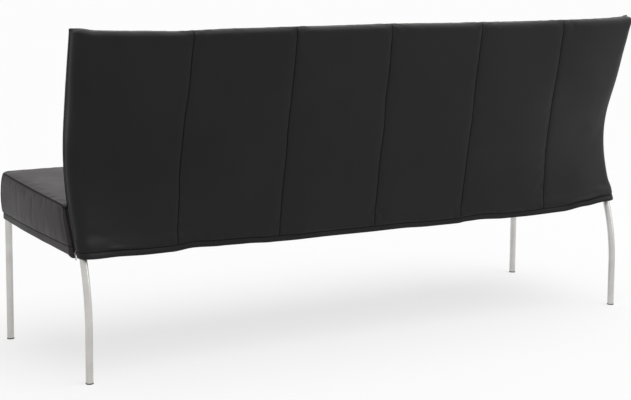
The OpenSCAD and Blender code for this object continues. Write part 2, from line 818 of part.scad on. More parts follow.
// Cloth under the seat and behind its rear rail, and the staples that hold it
module dust_cover() {
    color(cloth)
        in_seat()
            difference() {
                block([dust_in - frame_half, frame_front_in + dust_in, rail_z - dust_t],
                    [frame_half - dust_in, frame_rear - dust_in, rail_z]);
                plates(gap);
            }
}
module bottom_flap() {
    front = frame_rear - dust_in + gap;
    reach = frame_half - dust_in;
    edge = plan_end(0, 2 * cross_steps, level(seat_floor_z(frame_rear, rail_z)),
        panel_t + 2 * tuck_gap, 0, side_end_in);
    color(cloth)
        in_seat()
            difference() {
                translate([0, 0, rail_z - dust_t])
                    linear_extrude(dust_t)
                        polygon(concat(
                            [[reach, front], [-reach, front]],
                            [for (p = both_sides(edge)) [p[0], seat_run(p[1], rail_z)]]));
                plates(gap);
            }
}
module staples() {
    step = 2 * (plate_x - staple_l) / staples_per_rail;
    last = (staples_per_rail - 1) / 2;
    color(steel)
        in_seat()
            for (y = [frame_front_in + rail_t / 2, frame_rear - rail_t / 2], i = [-last : last])
                translate([i * step, y, rail_z - dust_t - staple_t / 2])
                    cube([staple_l, staple_w, staple_t], center = true);
}

// Zip along a side seam, its slider at the hem, and the pull tab that hangs from it
function zip_point(f) =
    let (t = face_level(f))
        [back_half(t) - zip_d / 2, seam_y(t) + zip_y_in, face_z(half, f)];
zip_lean = atan((seam_y(face_level(0)) - seam_y(0)) / hem_band_h);
pull_out = slider_w / 2 + knuckle_r;
pull_axis_z = slider_l / 3;
module zip() {
    color(plastic)
        bar([for (i = [0 : face_steps]) zip_point(i / face_steps)], zip_d / 2, [1, 0, 0]);
}
module at_slider() {
    translate(zip_point(0))
        rotate([-zip_lean, 0, 0])
            translate([0, -tuck_gap, -slider_l - gap])
                children();
}
module zip_slider() {
    at_slider() {
        translate([-slider_w / 2, -slider_w / 2, 0])
            cube([slider_w, slider_w, slider_l]);
        for (s = [-1, 1])
            translate([pull_out, s * (knuckle_w / 2 + pin_clear + lug_t / 2), pull_axis_z])
                cube([2 * knuckle_r, lug_t, 2 * knuckle_r], center = true);
        translate([pull_out, 0, pull_axis_z])
            rotate([90, 0, 0])
                cylinder(r = pin_r, h = knuckle_w + 2 * pin_clear + 2 * lug_t,
                    center = true, $fn = round_fn);
    }
}
module zip_sliders() {
    color(steel)
        for (s = [0, 1])
            mirror([s, 0, 0])
                zip_slider();
}
module pull() {
    color(steel)
        at_slider()
            translate([pull_out, 0, pull_axis_z])
                difference() {
                    union() {
                        rotate([90, 0, 0])
                            cylinder(r = knuckle_r, h = knuckle_w, center = true, $fn = round_fn);
                        translate([-pull_t / 2, -knuckle_w / 2, -2 * knuckle_r])
                            cube([pull_t, knuckle_w, 2 * knuckle_r - pin_r]);
                        translate([-pull_t / 2, -pull_w / 2, -pull_l])
                            cube([pull_t, pull_w, pull_l - 2 * knuckle_r]);
                    }
                    rotate([90, 0, 0])
                        cylinder(r = pin_r + pin_clear, h = 2 * knuckle_w,
                            center = true, $fn = round_fn);
                }
}

seat_panel(2);  // seat_panel_1
seat_panel(1);  // seat_panel_2
seat_panel(0);  // seat_panel_3
mirror([1, 0, 0]) seat_panel(0);  // seat_panel_4
mirror([1, 0, 0]) seat_panel(1);  // seat_panel_5
mirror([1, 0, 0]) seat_panel(2);  // seat_panel_6
front_panel(2);  // front_panel_1
front_panel(1);  // front_panel_2
front_panel(0);  // front_panel_3
mirror([1, 0, 0]) front_panel(0);  // front_panel_4
mirror([1, 0, 0]) front_panel(1);  // front_panel_5
mirror([1, 0, 0]) front_panel(2);  // front_panel_6
rear_panel(2);  // rear_panel_1
rear_panel(1);  // rear_panel_2
rear_panel(0);  // rear_panel_3
mirror([1, 0, 0]) rear_panel(0);  // rear_panel_4
mirror([1, 0, 0]) rear_panel(1);  // rear_panel_5
mirror([1, 0, 0]) rear_panel(2);  // rear_panel_6
side_border();  // seat_border_left
mirror([1, 0, 0]) side_border();  // seat_border_right
seat_border_front();
side_bands();
front_band();
rear_hem();
bottom_flap();
dust_cover();
staples();
seat_foam();
side_foam();
seat_felt();
seat_webbing();
front_rail();
rear_rail();
side_rails();
cross_rails();
corner_blocks();
back_foam();
back_webbing();
end_upright();  // end_upright_left
mirror([1, 0, 0]) end_upright();  // end_upright_right
middle_posts();
top_rail();
post_brackets();
bracket_bolts();
front_leg();  // front_leg_left
mirror([1, 0, 0]) front_leg();  // front_leg_right
rear_leg();  // rear_leg_left
mirror([1, 0, 0]) rear_leg();  // rear_leg_right
leg_plates();
leg_screws();
front_glide();  // glide_front_left
mirror([1, 0, 0]) front_glide();  // glide_front_right
rear_glide();  // glide_rear_left
mirror([1, 0, 0]) rear_glide();  // glide_rear_right
zip();  // zip_left
mirror([1, 0, 0]) zip();  // zip_right
zip_sliders();
pull();  // pull_left
mirror([1, 0, 0]) pull();  // pull_right
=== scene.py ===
"""Dining sofa: an armless bench with a high, waisted back, in black leather on satin steel legs."""

import json
from functools import partial

import bpy
import mathutils
import numpy as np
from numpy import arange, array, clip, cos, cross, linspace, maximum, minimum, ones_like, pi
from numpy import radians, sin, sqrt, stack, tan, where
from numpy.linalg import norm
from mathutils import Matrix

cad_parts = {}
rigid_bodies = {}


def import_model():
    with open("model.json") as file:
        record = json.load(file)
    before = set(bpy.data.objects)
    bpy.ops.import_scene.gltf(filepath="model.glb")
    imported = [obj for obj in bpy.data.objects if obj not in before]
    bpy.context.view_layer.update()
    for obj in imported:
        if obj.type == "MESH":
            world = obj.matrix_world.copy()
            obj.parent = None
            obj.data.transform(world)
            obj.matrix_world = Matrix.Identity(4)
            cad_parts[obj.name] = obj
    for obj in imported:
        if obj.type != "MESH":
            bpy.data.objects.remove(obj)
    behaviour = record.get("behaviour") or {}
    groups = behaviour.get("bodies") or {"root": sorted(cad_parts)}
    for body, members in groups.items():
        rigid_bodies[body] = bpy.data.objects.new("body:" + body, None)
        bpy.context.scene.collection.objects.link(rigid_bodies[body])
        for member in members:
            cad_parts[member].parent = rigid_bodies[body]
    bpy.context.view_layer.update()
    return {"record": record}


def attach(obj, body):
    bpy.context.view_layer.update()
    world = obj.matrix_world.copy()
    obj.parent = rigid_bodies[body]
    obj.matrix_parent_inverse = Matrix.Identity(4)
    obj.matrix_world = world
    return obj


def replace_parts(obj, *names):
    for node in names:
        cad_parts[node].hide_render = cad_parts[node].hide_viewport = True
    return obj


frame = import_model()

# Driving sizes of the sofa, in metres and radians, as in the part's source
HALF = 0.940
SOFA_H = 0.920
SOFA_D = 0.620
PITCH = HALF / 3
SEAT_H = 0.488
SEAM_Z = 0.132
SEAT_TILT = radians(2.8)
SEAT_CROWN = 0.009
BORDER_BULGE = 0.0005
BORDER_T = 0.012
CORNER_R = 0.024
BAND_FRONT_H = 0.017
BAND_REAR_H = 0.022
RAKE = radians(9)
SLAB_T = 0.050
WAIST_DEPTH = 0.073
LUMBAR = 0.035
END_TOP_FORWARD = 0.035
END_LOW_BACK = 0.026
HEM_DRAW = 0.026
HEM_H = 0.319
HEM_RISE = 0.012
HEM_BAND_H = 0.016
EAR_RISE = 0.008
END_R = 0.032
TOP_R = 0.014
PANEL_T = 0.004
REAR_CROWN = 0.002
FRONT_CROWN = 0.008
FRAME_SIDE_IN = 0.035
FRAME_FRONT_IN = 0.024
FRAME_REAR_IN = 0.039
GAP = 0.0003
TUCK_GAP = 0.001
TUCK_L = 0.038
ROUND_L = 0.009
ZIP_D = 0.003
ZIP_LOW_Z = 0.336
TAPE_W = 0.019
PLATE_X = 0.8795
PLATE_FRONT_Y = 0.0755
PLATE_REAR_IN = 0.0510
STAPLE_STEP = 0.0916

# Places worked out from them
SEAT_HALF = HALF - BORDER_BULGE
LOW_HALF = HALF - HEM_DRAW
REAR_Y = SOFA_D / 2 + TOP_R * tan(RAKE)
SEAT_Y = -SOFA_D / 2
SEAT_Z = SEAT_H - SEAM_Z
FACE_LOW = HEM_H + HEM_BAND_H
CORNER_X = SEAT_HALF - CORNER_R
PAD_Z = 0.1124
RAIL_Z = 0.008
FRAME_HALF = HALF - FRAME_SIDE_IN
SIDE_END_IN = PANEL_T + ZIP_D + 3 * TUCK_GAP

# Finish of the sewing, and of the bands and cloth under the seat
ROLL_R = 0.0022
MITRE = 0.0012
SIDE_FULL = 0.008
PLATE_EDGE = 0.0008
REAR_PLATE_X = 0.9105
SIDE_RETURN, FRONT_RETURN = 0.046, 0.044
BAND_REACH = 0.0032
CLOTH_IN = 0.004
CLOTH_Z = (0.0070, 0.0074)

join, spread = np.concatenate, np.broadcast_arrays


def unit(v):
    """v held between 0 and 1."""
    return clip(v, 0.0, 1.0)


def ease(v):
    """Smooth step: 3 f² - 2 f³, where f is v held between 0 and 1."""
    f = unit(v)
    return f * f * (3 - 2 * f)


def bell(d):
    """Bell curve: e to the power of minus d²."""
    return np.exp(-(d * d))


def puff(f):
    """Swell across a channel: the square root of a half sine, 0 at both seams and 1 midway."""
    return sqrt(maximum(sin(pi * f), 0.0))


def ripple(at, seed, size):
    """Even noise: a mean of cosines in seeded directions, with wavelengths near size."""
    rng = np.random.default_rng(seed)
    waves = rng.normal(size=(14, at.shape[-1]))
    waves *= (2 * pi / size * rng.uniform(0.6, 1.5, 14) / norm(waves, axis=1))[:, None]
    return cos(at @ waves.T + rng.uniform(0, 2 * pi, 14)).mean(-1) * 2


def knots(x, table):
    """A smooth line through (place, value) pairs: half cosines from each pair to the next."""
    at, value = array(table, float).T
    i = clip(np.searchsorted(at, x) - 1, 0, len(at) - 2)
    f = unit((x - at[i]) / (at[i + 1] - at[i]))
    f = (1 - cos(pi * f)) / 2
    return value[i] * (1 - f) + value[i + 1] * f


# Small unevenness that the leather took when it was pulled over the frame, along the sofa's width
HEM_SAG = [(-0.95, 0.011), (-0.86, 0.010), (-0.79, 0.0042), (-0.7, -0.004), (-0.55, -0.0062), (-0.48, -0.006),
           (-0.385, -0.0018), (-0.34, -0.003), (-0.3, -0.0061), (-0.2, -0.0057), (-0.1, -0.0026), (0, -0.003),
           (0.16, -0.002), (0.26, -0.0026), (0.34, -0.0015), (0.42, 0.0023), (0.5, 0.004), (0.585, 0.0078),
           (0.65, 0.0024), (0.73, 0.0018), (0.81, 0.0032), (0.88, 0.0008), (0.95, -0.005)]
TOP_SAG = [(-0.95, 0.001), (-0.85, -0.0012), (-0.62, -0.002), (-0.32, -0.0015), (0.0, 0.001), (0.24, 0.0),
           (0.48, -0.001), (0.65, -0.0045), (0.76, -0.0015), (0.86, 0.0), (0.95, 0.0)]

# Drift of the back's seams from their even spacing at the top and at the hem, by panel count and side
SEAM_DRIFT = {(0, 1): (0.0047, 0.0004), (0, -1): (-0.0047, -0.0004), (1, 1): (0.0008, 0.0053),
              (1, -1): (-0.0034, -0.0060), (2, 1): (-0.0070, 0.0078), (2, -1): (-0.0009, -0.0018)}


def level(z):
    """Share of the back's height, from 0 at the hem to 1 at the top."""
    return unit((z - HEM_H) / (SOFA_H - HEM_H))


def back_half(t):
    """Half width of the back: it widens from the hem to the top, mostly over its middle heights."""
    return LOW_HALF + (HALF - LOW_HALF) * (0.2 * t + 0.8 * ease(t)) - 0.0026 * bell((t - 0.68) / 0.18)


def waist(t):
    """Depth of the waist: a sine hump whose top lies below the middle, 0 at the hem and at the top."""
    return maximum(sin(pi * t**0.8), 0.0) ** 1.3


def middle_y(t):
    """Rear surface at the sofa's middle: a straight leaning line."""
    return REAR_Y - (1 - t) * (SOFA_H - HEM_H) * tan(RAKE)


END_LOW_Y = middle_y(0.0) + END_LOW_BACK


def end_y(t):
    """Rear surface at the rounded ends: a steeper line, drawn forward by the waist."""
    return END_LOW_Y + t * (REAR_Y - END_TOP_FORWARD - END_LOW_Y) - WAIST_DEPTH * waist(t)


def end_weight(x, t, most=1.0):
    """How far the end's curve counts at x: the square of the share of the way over the last two panels."""
    return clip((x - PITCH) / (back_half(t) - END_R - PITCH), 0.0, most) ** 2


def back_y(x, t, most=1.0):
    """Rear surface at distance x from the middle: from the middle's line to the end's."""
    return middle_y(t) + (end_y(t) - middle_y(t)) * end_weight(x, t, most)


def end_fullness(t):
    """How far the padding rounds out the rear surface at the ends: a bell over the upper half of the back."""
    return 0.012 * bell((t - 0.65) / 0.16)


def rear_y(x, t, most=1.0):
    """Rear surface with the fullness of its ends."""
    return back_y(x, t, most) + end_fullness(t) * end_weight(x, t, most)


def front_y(x, t):
    """Front surface: the back's slab, thicker at the small of the back but not at the ends."""
    return back_y(x, t) - SLAB_T - LUMBAR * (1 - end_weight(x, t)) * waist(t)


def end_rise(x, start):
    """0 up to the share start of the half width, then a square that reaches 1 at the end."""
    return unit((x / HALF - start) / (1 - start)) ** 2


def ear_share(x, side):
    """Share of the ear's rise at x: a slow start over the end panel, then the pinch itself."""
    pinch = ease((x / HALF - 0.953 + 0.021 * side) / (0.036 + 0.010 * side))
    return (0.9 + 0.1 * side) * (0.4 * end_rise(x, 0.8) + 0.6 * pinch - 0.22 * bell((HALF - x) / 0.0035))


def top_z(x, side):
    """Top edge: level with a slight sag, and two corners that the cover pinches up."""
    return SOFA_H + EAR_RISE * ear_share(x, side) + knots(side * x, TOP_SAG)


def hem_z(x):
    """Lower edge of the rear cover: it rises at the ends and wanders a little."""
    return HEM_H + HEM_RISE * end_rise(abs(x), 0.6) + knots(x, HEM_SAG)


def seam_x(k, side, f, low_drift=1.0):
    """Distance of back seam k from the middle, with its drift and the small waves of a sewn seam."""
    rng = np.random.default_rng(40 + side * k)
    size, phase = rng.uniform(0.0004, 0.0012, 3), rng.uniform(0, 2 * pi, 3)
    wander = sum(size[i] * sin((2 + 2.6 * i) * f * pi + phase[i]) for i in range(3))
    top, low = SEAM_DRIFT[k, side]
    drift = top * f + low * (1 - f) * low_drift
    return k * PITCH + drift + side * wander * puff(f)


# The seat lies in a frame of its own that falls towards the back
def from_seat(x, y, z):
    """World points of seat points: turned about X by the seat's fall and set on its front lower edge."""
    c, s = cos(SEAT_TILT), sin(SEAT_TILT)
    return stack(spread(x, SEAT_Y + y * c + z * s, SEAT_Z - y * s + z * c), -1)


def floor_z(y, z):
    """Height over the floor of a seat point."""
    return SEAT_Z - y * sin(SEAT_TILT) + z * cos(SEAT_TILT)


def seat_run(y, z):
    """Seat depth at which height z of the seat has the world depth y."""
    return (y - SEAT_Y - z * sin(SEAT_TILT)) / cos(SEAT_TILT)


FRAME_REAR = seat_run(middle_y(0.0) - FRAME_REAR_IN, RAIL_Z)
FRONT_LOW_Z = floor_z(FRAME_REAR, SEAM_Z) - BORDER_T


def floor_level(z):
    """Level of the back where a height of the seat meets it."""
    return level(floor_z(FRAME_REAR - TUCK_L, z))


def side_rear(z):
    """Seat depth at which a height of the side meets the back's side seam."""
    return seat_run(end_y(floor_level(z)) - SLAB_T, z) - TUCK_GAP


def tuck(y, z):
    """How far the side is drawn in, from 0 to 1: slowly over the seat's depth, then a last quarter round."""
    left = side_rear(z) - y
    slow = unit((y / side_rear(z) - 0.3) / 0.7) ** 1.5
    return 0.6 * slow + 0.4 * (1 - sqrt(1 - unit(1 - left / ROUND_L) ** 2))


def corner_droop(y):
    """How far the seat's edge sinks in the fold where it meets the back."""
    return 0.0075 * unit(1 - (side_rear(SEAM_Z) - y) / 0.016) ** 1.2


def seam_rise(y):
    """How far the seat's top seam lies over its plain height: a little at the front, falling evenly."""
    return 0.0025 - 0.010 * unit(y / side_rear(SEAM_Z))


def side_x(y, z):
    """Half width of the seat, drawn in at the rear to meet the back's side seams."""
    return SEAT_HALF - tuck(y, z) * (SEAT_HALF - back_half(floor_level(z)))


def band_h(y):
    """Height of the lower band, which grows towards the rear."""
    return BAND_FRONT_H + (BAND_REAR_H - BAND_FRONT_H) * y / FRAME_REAR


def plan_point(u, t, inset, k, side, tail):
    """Plan of the rear cover, set in by inset: over panel k from seam to seam, and on the end panel round the
    corner's arc too, which starts square to the surface's slope, and along the side to the zip."""
    u, t, inset = spread(u, t, inset)
    x0 = seam_x(k, side, t)
    if k < 2:
        x = x0 + u * (seam_x(k + 1, side, t) - x0)
        return x, rear_y(x, t) - inset
    w, r = back_half(t), maximum(END_R - inset, GAP)
    turn = -np.arctan(2 * (end_y(t) + end_fullness(t) - middle_y(t)) / (w - END_R - PITCH))
    cx = w - inset - r
    x_arc = cx + r * sin(turn)
    cy = rear_y(minimum(x_arc, w), t, 1.05) - inset - r * cos(turn)
    a = turn + (pi / 2 - turn) * unit((u - FLAT_END) / (ARC_END - FLAT_END))
    run = unit((u - ARC_END) / (1 - ARC_END))
    x_flat = x0 + unit(u / FLAT_END) * (x_arc - x0)
    flat = u <= FLAT_END
    x = where(flat, x_flat, cx + r * sin(a))
    y = where(flat, rear_y(x_flat, t, 1.05) - inset,
                 cy + r * cos(a) + run * (end_y(t) - SLAB_T + tail - cy))
    return x, y


# Lengths up the rear cover: its leaning face, the quarter circle over the top, and forward to the front seam
REAR_LONG = [SOFA_H - TOP_R - FACE_LOW, TOP_R * pi / 2, SLAB_T - TOP_R - 0.006]
FLAT_END, ARC_END = 0.79, 0.95


def rear_surface(k, side, u, v):
    """Rear cover: up the face, round the top and forward to the front seam. On the end panel the corner's
    outline closes evenly to the seam line, so that seam and zip meet in the ear's tip."""
    face_l, round_l, flat_l = REAR_LONG
    s = v * sum(REAR_LONG)
    face = unit(s / face_l)
    a = unit((s - face_l) / round_l) * pi / 2
    inset = TOP_R * (1 - cos(a)) + maximum(s - face_l - round_l, 0.0)
    f = unit((s - face_l) / (round_l + flat_l))
    turn = unit((u - FLAT_END) / (1 - FLAT_END)) if k == 2 else 0.0
    climb = sin(a) + (f - sin(a)) * turn
    t = level(FACE_LOW + face * face_l + TOP_R * climb)
    if k < 2:
        x, y = plan_point(u, t, inset, k, side, SIDE_END_IN)
        high = top_z(x, side)
    else:
        tail = SIDE_END_IN + (PANEL_T + TUCK_GAP - SIDE_END_IN) * f
        x_low, y_low = plan_point(u, t, 0.0, k, side, tail)
        x_flat = plan_point(minimum(u, FLAT_END), t, 0.0, k, side, tail)[0]
        x_seam = x_flat + (back_half(t) - x_flat) * turn
        y_seam = rear_y(x_seam, t) - TOP_R - flat_l - turn * (tail - PANEL_T - TUCK_GAP + 0.001)
        part = inset / (TOP_R + flat_l)
        x = x_low + (x_seam - x_low) * part
        y = y_low + (y_seam - y_low) * part
        ear = 0.6 * face + 0.4 * (part * (1 - turn) + f * turn)
        ear = ear * ear_share(maximum(x_low, x_seam), side)
        high = SOFA_H + knots(side * x, TOP_SAG) + EAR_RISE * ear
    low = hem_z(side * x) + HEM_BAND_H + GAP
    return stack([side * x, y, low + face * (high - TOP_R - low) + TOP_R * climb], -1)


def front_surface(k, side, u, v):
    """Front cover: over the panel from seam to seam, and from behind the seat up to the top edge."""
    t = level(FRONT_LOW_Z + v * (SOFA_H - FRONT_LOW_Z))
    low_drift = unit((t - 0.2) / 0.5)
    x0 = seam_x(k, side, t, low_drift)
    x1 = back_half(t) - 0.0008 if k == 2 else seam_x(k + 1, side, t, low_drift)
    x = x0 + u * (x1 - x0)
    z = FRONT_LOW_Z + v * (top_z(x, side) - GAP - FRONT_LOW_Z)
    return stack(spread(side * x, front_y(x, t), z), -1)


def seat_plan(k, side, inset, z, droop, u, v):
    """Seat panel: from seam to seam or round the front corner to the side, and from the front to the back."""
    u, v = spread(u, v)
    c, r, x0 = CORNER_X, CORNER_R - inset, k * PITCH
    x = x0 + u * PITCH
    if k == 2:
        x = x0 + unit(u / 0.9) * (c - x0) + sin(unit((u - 0.9) / 0.1) * pi / 2) * r
    y0 = CORNER_R - sqrt(maximum(r * r - maximum(x - c, 0.0) ** 2, 0.0))
    t = floor_level(SEAM_Z)
    y1 = seat_run(front_y(minimum(x, back_half(t)), t), SEAM_Z) - TUCK_GAP
    y = y0 + v * (y1 - y0)
    edge = side_x(y, SEAM_Z)
    if k == 2:
        x = x0 + (x - x0) / (c + r - x0) * (edge - inset - x0)
    near_side = unit(1 - (edge - x) / 0.045)
    return from_seat(side * x, y, z + droop * (seam_rise(y) - corner_droop(y) * near_side**2))


def side_border(side, inset, top, droop, u, v):
    """Side border: along the seat from its front corner to the back's seam, and up from the lower band."""
    z_plain = BAND_FRONT_H + GAP + v * (top - BAND_FRONT_H - GAP)
    y = CORNER_R + GAP / 2 + u * (side_rear(z_plain) - CORNER_R)
    low = band_h(y) + GAP
    thin = 1 - 0.6 * tuck(y, z_plain)
    high = top + droop * (seam_rise(y) - corner_droop(y))
    return from_seat(side * (side_x(y, z_plain) - inset * thin), y, low + v * (high - low))


FRONT_ARC = CORNER_R * pi / 2
FRONT_PATH = 2 * (CORNER_X + FRONT_ARC)


def front_edge(u, inset):
    """Plan of the seat's front with its two rounded corners, as a path from the left end to the right."""
    s = u * FRONT_PATH - FRONT_ARC
    r = CORNER_R - inset
    a = unit(-s / FRONT_ARC) * pi / 2
    b = unit((s - FRONT_PATH) / FRONT_ARC + 2) * pi / 2
    x = CORNER_X - clip(s, 0.0, 2 * CORNER_X) + r * sin(a) - r * sin(b)
    return x, CORNER_R - r * cos(maximum(a, b))


def front_border(inset, top, droop, u, v):
    """Front border: the front edge's path carried up from the lower band to the seat's top seam."""
    x, y = front_edge(u, inset)
    low = BAND_FRONT_H + GAP
    return from_seat(x, y, low + v * (top + droop * seam_rise(y) - low))


def normals(p, outward):
    """Unit normals of a grid of points, turned to the side of outward."""
    n = cross(np.gradient(p, axis=1), np.gradient(p, axis=0))
    n /= maximum(norm(n, axis=-1, keepdims=True), 1e-12)
    return n if (n * outward).sum() > 0 else -n


def runs(p, axis):
    """Length along the grid lines of one axis, from its first line."""
    step = norm(np.diff(p, axis=axis), axis=-1)
    start = np.zeros_like(np.take(step, [0], axis=axis))
    return join([start, np.cumsum(step, axis=axis)], axis=axis)


def seam_shares(long, step):
    """Shares from 0 to 1: within a centimetre of both seams close together, and even between."""
    near = array([0.0, 0.0005, 0.0012, 0.0021, 0.0032, 0.0048, 0.0072, 0.0105])
    count = max(2, round((long - 2 * near[-1]) / step))
    middle = linspace(near[-1], long - near[-1], count + 1)[1:-1]
    return join([near, middle, (long - near)[::-1]]) / long


def cubic(n, at):
    """Matrix that reads n even samples at the given shares by Catmull-Rom cubics."""
    i = clip(np.floor(at * (n - 1)).astype(int), 0, n - 2)
    f = at * (n - 1) - i
    terms = [-0.5 * f + f**2 - 0.5 * f**3, 1 - 2.5 * f**2 + 1.5 * f**3, 0.5 * f + 2 * f**2 - 1.5 * f**3,
             -0.5 * f**2 + 0.5 * f**3]
    w = np.zeros((len(at), n))
    for shift, value in enumerate(terms):
        np.add.at(w, (arange(len(at)), clip(i + shift - 1, 0, n - 1)), value)
    return w


def grid_quads(rows, cols):
    """Quads of a grid of points, as index rows."""
    a = (arange(rows - 1)[:, None] * cols + arange(cols - 1)).ravel()
    return stack([a, a + 1, a + cols + 1, a + cols], 1)


def tube_quads(i):
    """Quads from each closed ring of points to the next, from a table of their indices."""
    a, b = i[:-1], i[1:]
    return stack([a, np.roll(a, -1, 1), np.roll(b, -1, 1), b], -1).reshape(-1, 4)


def rim_quads(rows, cols):
    """Quads that join the rims of two grids, the second's points after the first's."""
    i = arange(rows * cols).reshape(rows, cols)
    rim = join([i[0, :-1], i[:-1, -1], i[-1, :0:-1], i[:0:-1, 0]])
    after = np.roll(rim, -1)
    return stack([after, rim, rim + i.size, after + i.size], 1)


slots = {}


def adjust(thing, **values):
    """Sets attributes of a thing."""
    for key, value in values.items():
        setattr(thing, key, value)


def put(name, data):
    """A new object in the scene."""
    made = bpy.data.objects.new(name, data)
    bpy.context.scene.collection.objects.link(made)
    return made


def put_piece(name, mesh, slot):
    """A new piece of the sofa in a slot."""
    piece = put(name, mesh)
    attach(piece, "sofa")
    slots[piece] = slot
    return piece


def make_mesh(name, points, quads, slot, sharp=50):
    """A piece from points and quads, its faces turned outwards by the sign of its volume."""
    points = points.reshape(-1, 3)
    a, b, c, d = (points[quads[:, i]] for i in range(4))
    if (cross(b, c) * a).sum() + (cross(c, d) * a).sum() < 0:
        quads = quads[:, ::-1]
    mesh = bpy.data.meshes.new(name)
    mesh.from_pydata(points.tolist(), [], quads.tolist())
    mesh.polygons.foreach_set("use_smooth", np.ones(len(quads), bool))
    mesh.set_sharp_from_angle(angle=radians(sharp))
    return put_piece(name, mesh, slot)


def mark_seam_shade(piece, near):
    """Stores how near each point lies to a seam, from 0 to 1: the mask of the painted shade that darkens the
    leather's colour in the seam grooves.
    """
    layer = piece.data.attributes.new("seam", "FLOAT", "POINT")
    layer.data.foreach_set("value", near.ravel().astype(np.float32))


def shell(name, outer, inner, slot):
    """A closed skin between two grids of points of the same size."""
    rows, cols = outer.shape[:2]
    quads = grid_quads(rows, cols)
    quads = join([quads, quads[:, ::-1] + rows * cols, rim_quads(rows, cols)])
    return make_mesh(name, stack([outer, inner]), quads, slot)


CLOTH_STEP, FINE_STEP = 0.0095, 0.0065


class Pad:
    """One sewn leather panel: its base and inner surface, its swell, its size across and up, the random draws
    of its four edges, how far the cloth may move it, how deep it puckers, and how full it is padded, which is
    not used."""
    given = "name node base inner crown wide high outward slot seeds slack pucker fill"

    def __init__(self, *values):
        adjust(self, **dict(zip(self.given.split(), values)))
        self.rows, self.cols = (max(7, round(long / CLOTH_STEP) + 1) for long in (self.high, self.wide))
        self.moved = np.zeros((self.rows, self.cols, 3))

    def coarse(self):
        """Even grid of the swollen panel, for the cloth."""
        u, v = linspace(0, 1, self.cols)[None, :], linspace(0, 1, self.rows)[:, None]
        p = self.base(u, v)
        n = normals(p, self.outward)
        start = ripple(p, self.seeds[0] + 7, 0.05) * 0.0004 * (puff(u) * puff(v))
        return p + n * (self.crown(u, v) + start)[..., None], n

    def finish(self):
        """The finished panel: base, swell, cloth and puckers, its edges rolled into the seams, with painted
        shade in the seams.
        """
        u, v = seam_shares(self.wide, FINE_STEP)[None, :], seam_shares(self.high, FINE_STEP)[:, None]
        p = self.base(u, v)
        n = normals(p, self.outward)
        across, up = runs(p, 1), runs(p, 0)
        sides = [across, across[:, -1:] - across, up, up[-1:] - up]
        nearest = minimum.reduce([np.broadcast_to(d, p.shape[:2]) for d in sides])
        drop = ROLL_R * (1 - sqrt(1 - unit(1 - nearest / ROLL_R) ** 2))
        uneven = 0.68 + 0.32 * ripple(p, self.seeds[0] % 100 + 9, 0.06)
        lift = self.crown(u, v) - drop * uneven
        for d, s, seed in zip(sides, (up, up, across, across), self.seeds):
            fade = np.exp(-((d / 0.022) ** 1.2)) * unit(d / 0.002)
            lift = lift + self.pucker * fade * ripple(stack([s, d * 0.25], -1), seed, 0.026)
        lift = lift + self.pucker * 1.1 * ripple(p, self.seeds[0] + 3, 0.16) * puff(u) * puff(v)
        moved = np.einsum("ri,ijc,sj->rsc", cubic(self.rows, v[:, 0]), self.moved, cubic(self.cols, u[0]))
        outer = p + n * lift[..., None] + moved
        piece = shell(self.name, outer, self.inner(u, v), self.slot)
        # Painted shade: the colour darkens within 6 mm of each seam, where the rolled edges fall into shade,
        # and the inner faces take the darkest seam colour throughout.
        mark_seam_shade(piece, stack([unit(1 - nearest / 0.006), np.ones(nearest.shape)]))
        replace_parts(piece, self.node)


def inset_inner(base, depth, outward, u, v):
    """Inner surface: the base set in along its normal by depth."""
    p = base(u, v)
    return p - normals(p, outward) * depth


# How full the folds over the hem are, along the sofa's width
HEM_FOLDS = [(-0.95, 0.1), (-0.90, 0.5), (-0.84, 1.0), (-0.78, 0.9), (-0.70, 0.1), (-0.56, 0.2), (-0.53, 0.8),
             (-0.49, 0.8), (-0.44, 0.1), (-0.32, 0.45), (-0.10, 0.5), (0.10, 0.5), (0.24, 0.4), (0.33, 0.05),
             (0.70, 0.1), (0.80, 0.5), (0.865, 1.0), (0.90, 0.2), (0.95, 0.0)]
BACKWARD, FORWARD = (0, 1, 0.2), (0, -1, 0)


def rear_crown(k, side, u, v):
    """Swell of a rear panel: low over its face, and fuller just above the hem, most where the cover folds."""
    along = u if k < 2 else unit(u / FLAT_END)
    fold = knots(side * PITCH * (k + along), HEM_FOLDS)
    over_hem = 0.0020 * bell((v - 0.03) / 0.022) + 0.0048 * fold * bell((v - 0.0095) / 0.0075)
    return REAR_CROWN * sin(pi * unit(v / 0.93)) * puff(along) + over_hem


def front_crown(u, v):
    """Swell of a front panel: a channel from seam to seam, full behind the seat and flat at the top edge."""
    return FRONT_CROWN * puff(u) * sqrt(maximum(cos(pi / 2 * v), 0.0)) * unit(v / 0.25)


def side_crown(u, v):
    """Swell of a side border, less towards the back, with a dent and a slanting crease in its rear corner."""
    dent = 0.0025 * bell((u - 0.970) / 0.010) * bell((v - 0.90) / 0.10)
    crease = 0.0016 * bell((u - 0.945 - 0.03 * (1 - v)) / 0.012) * puff(v) * v
    return SIDE_FULL * puff(v) * (1 - unit((u - 0.55) / 0.45) ** 2) - dent - crease


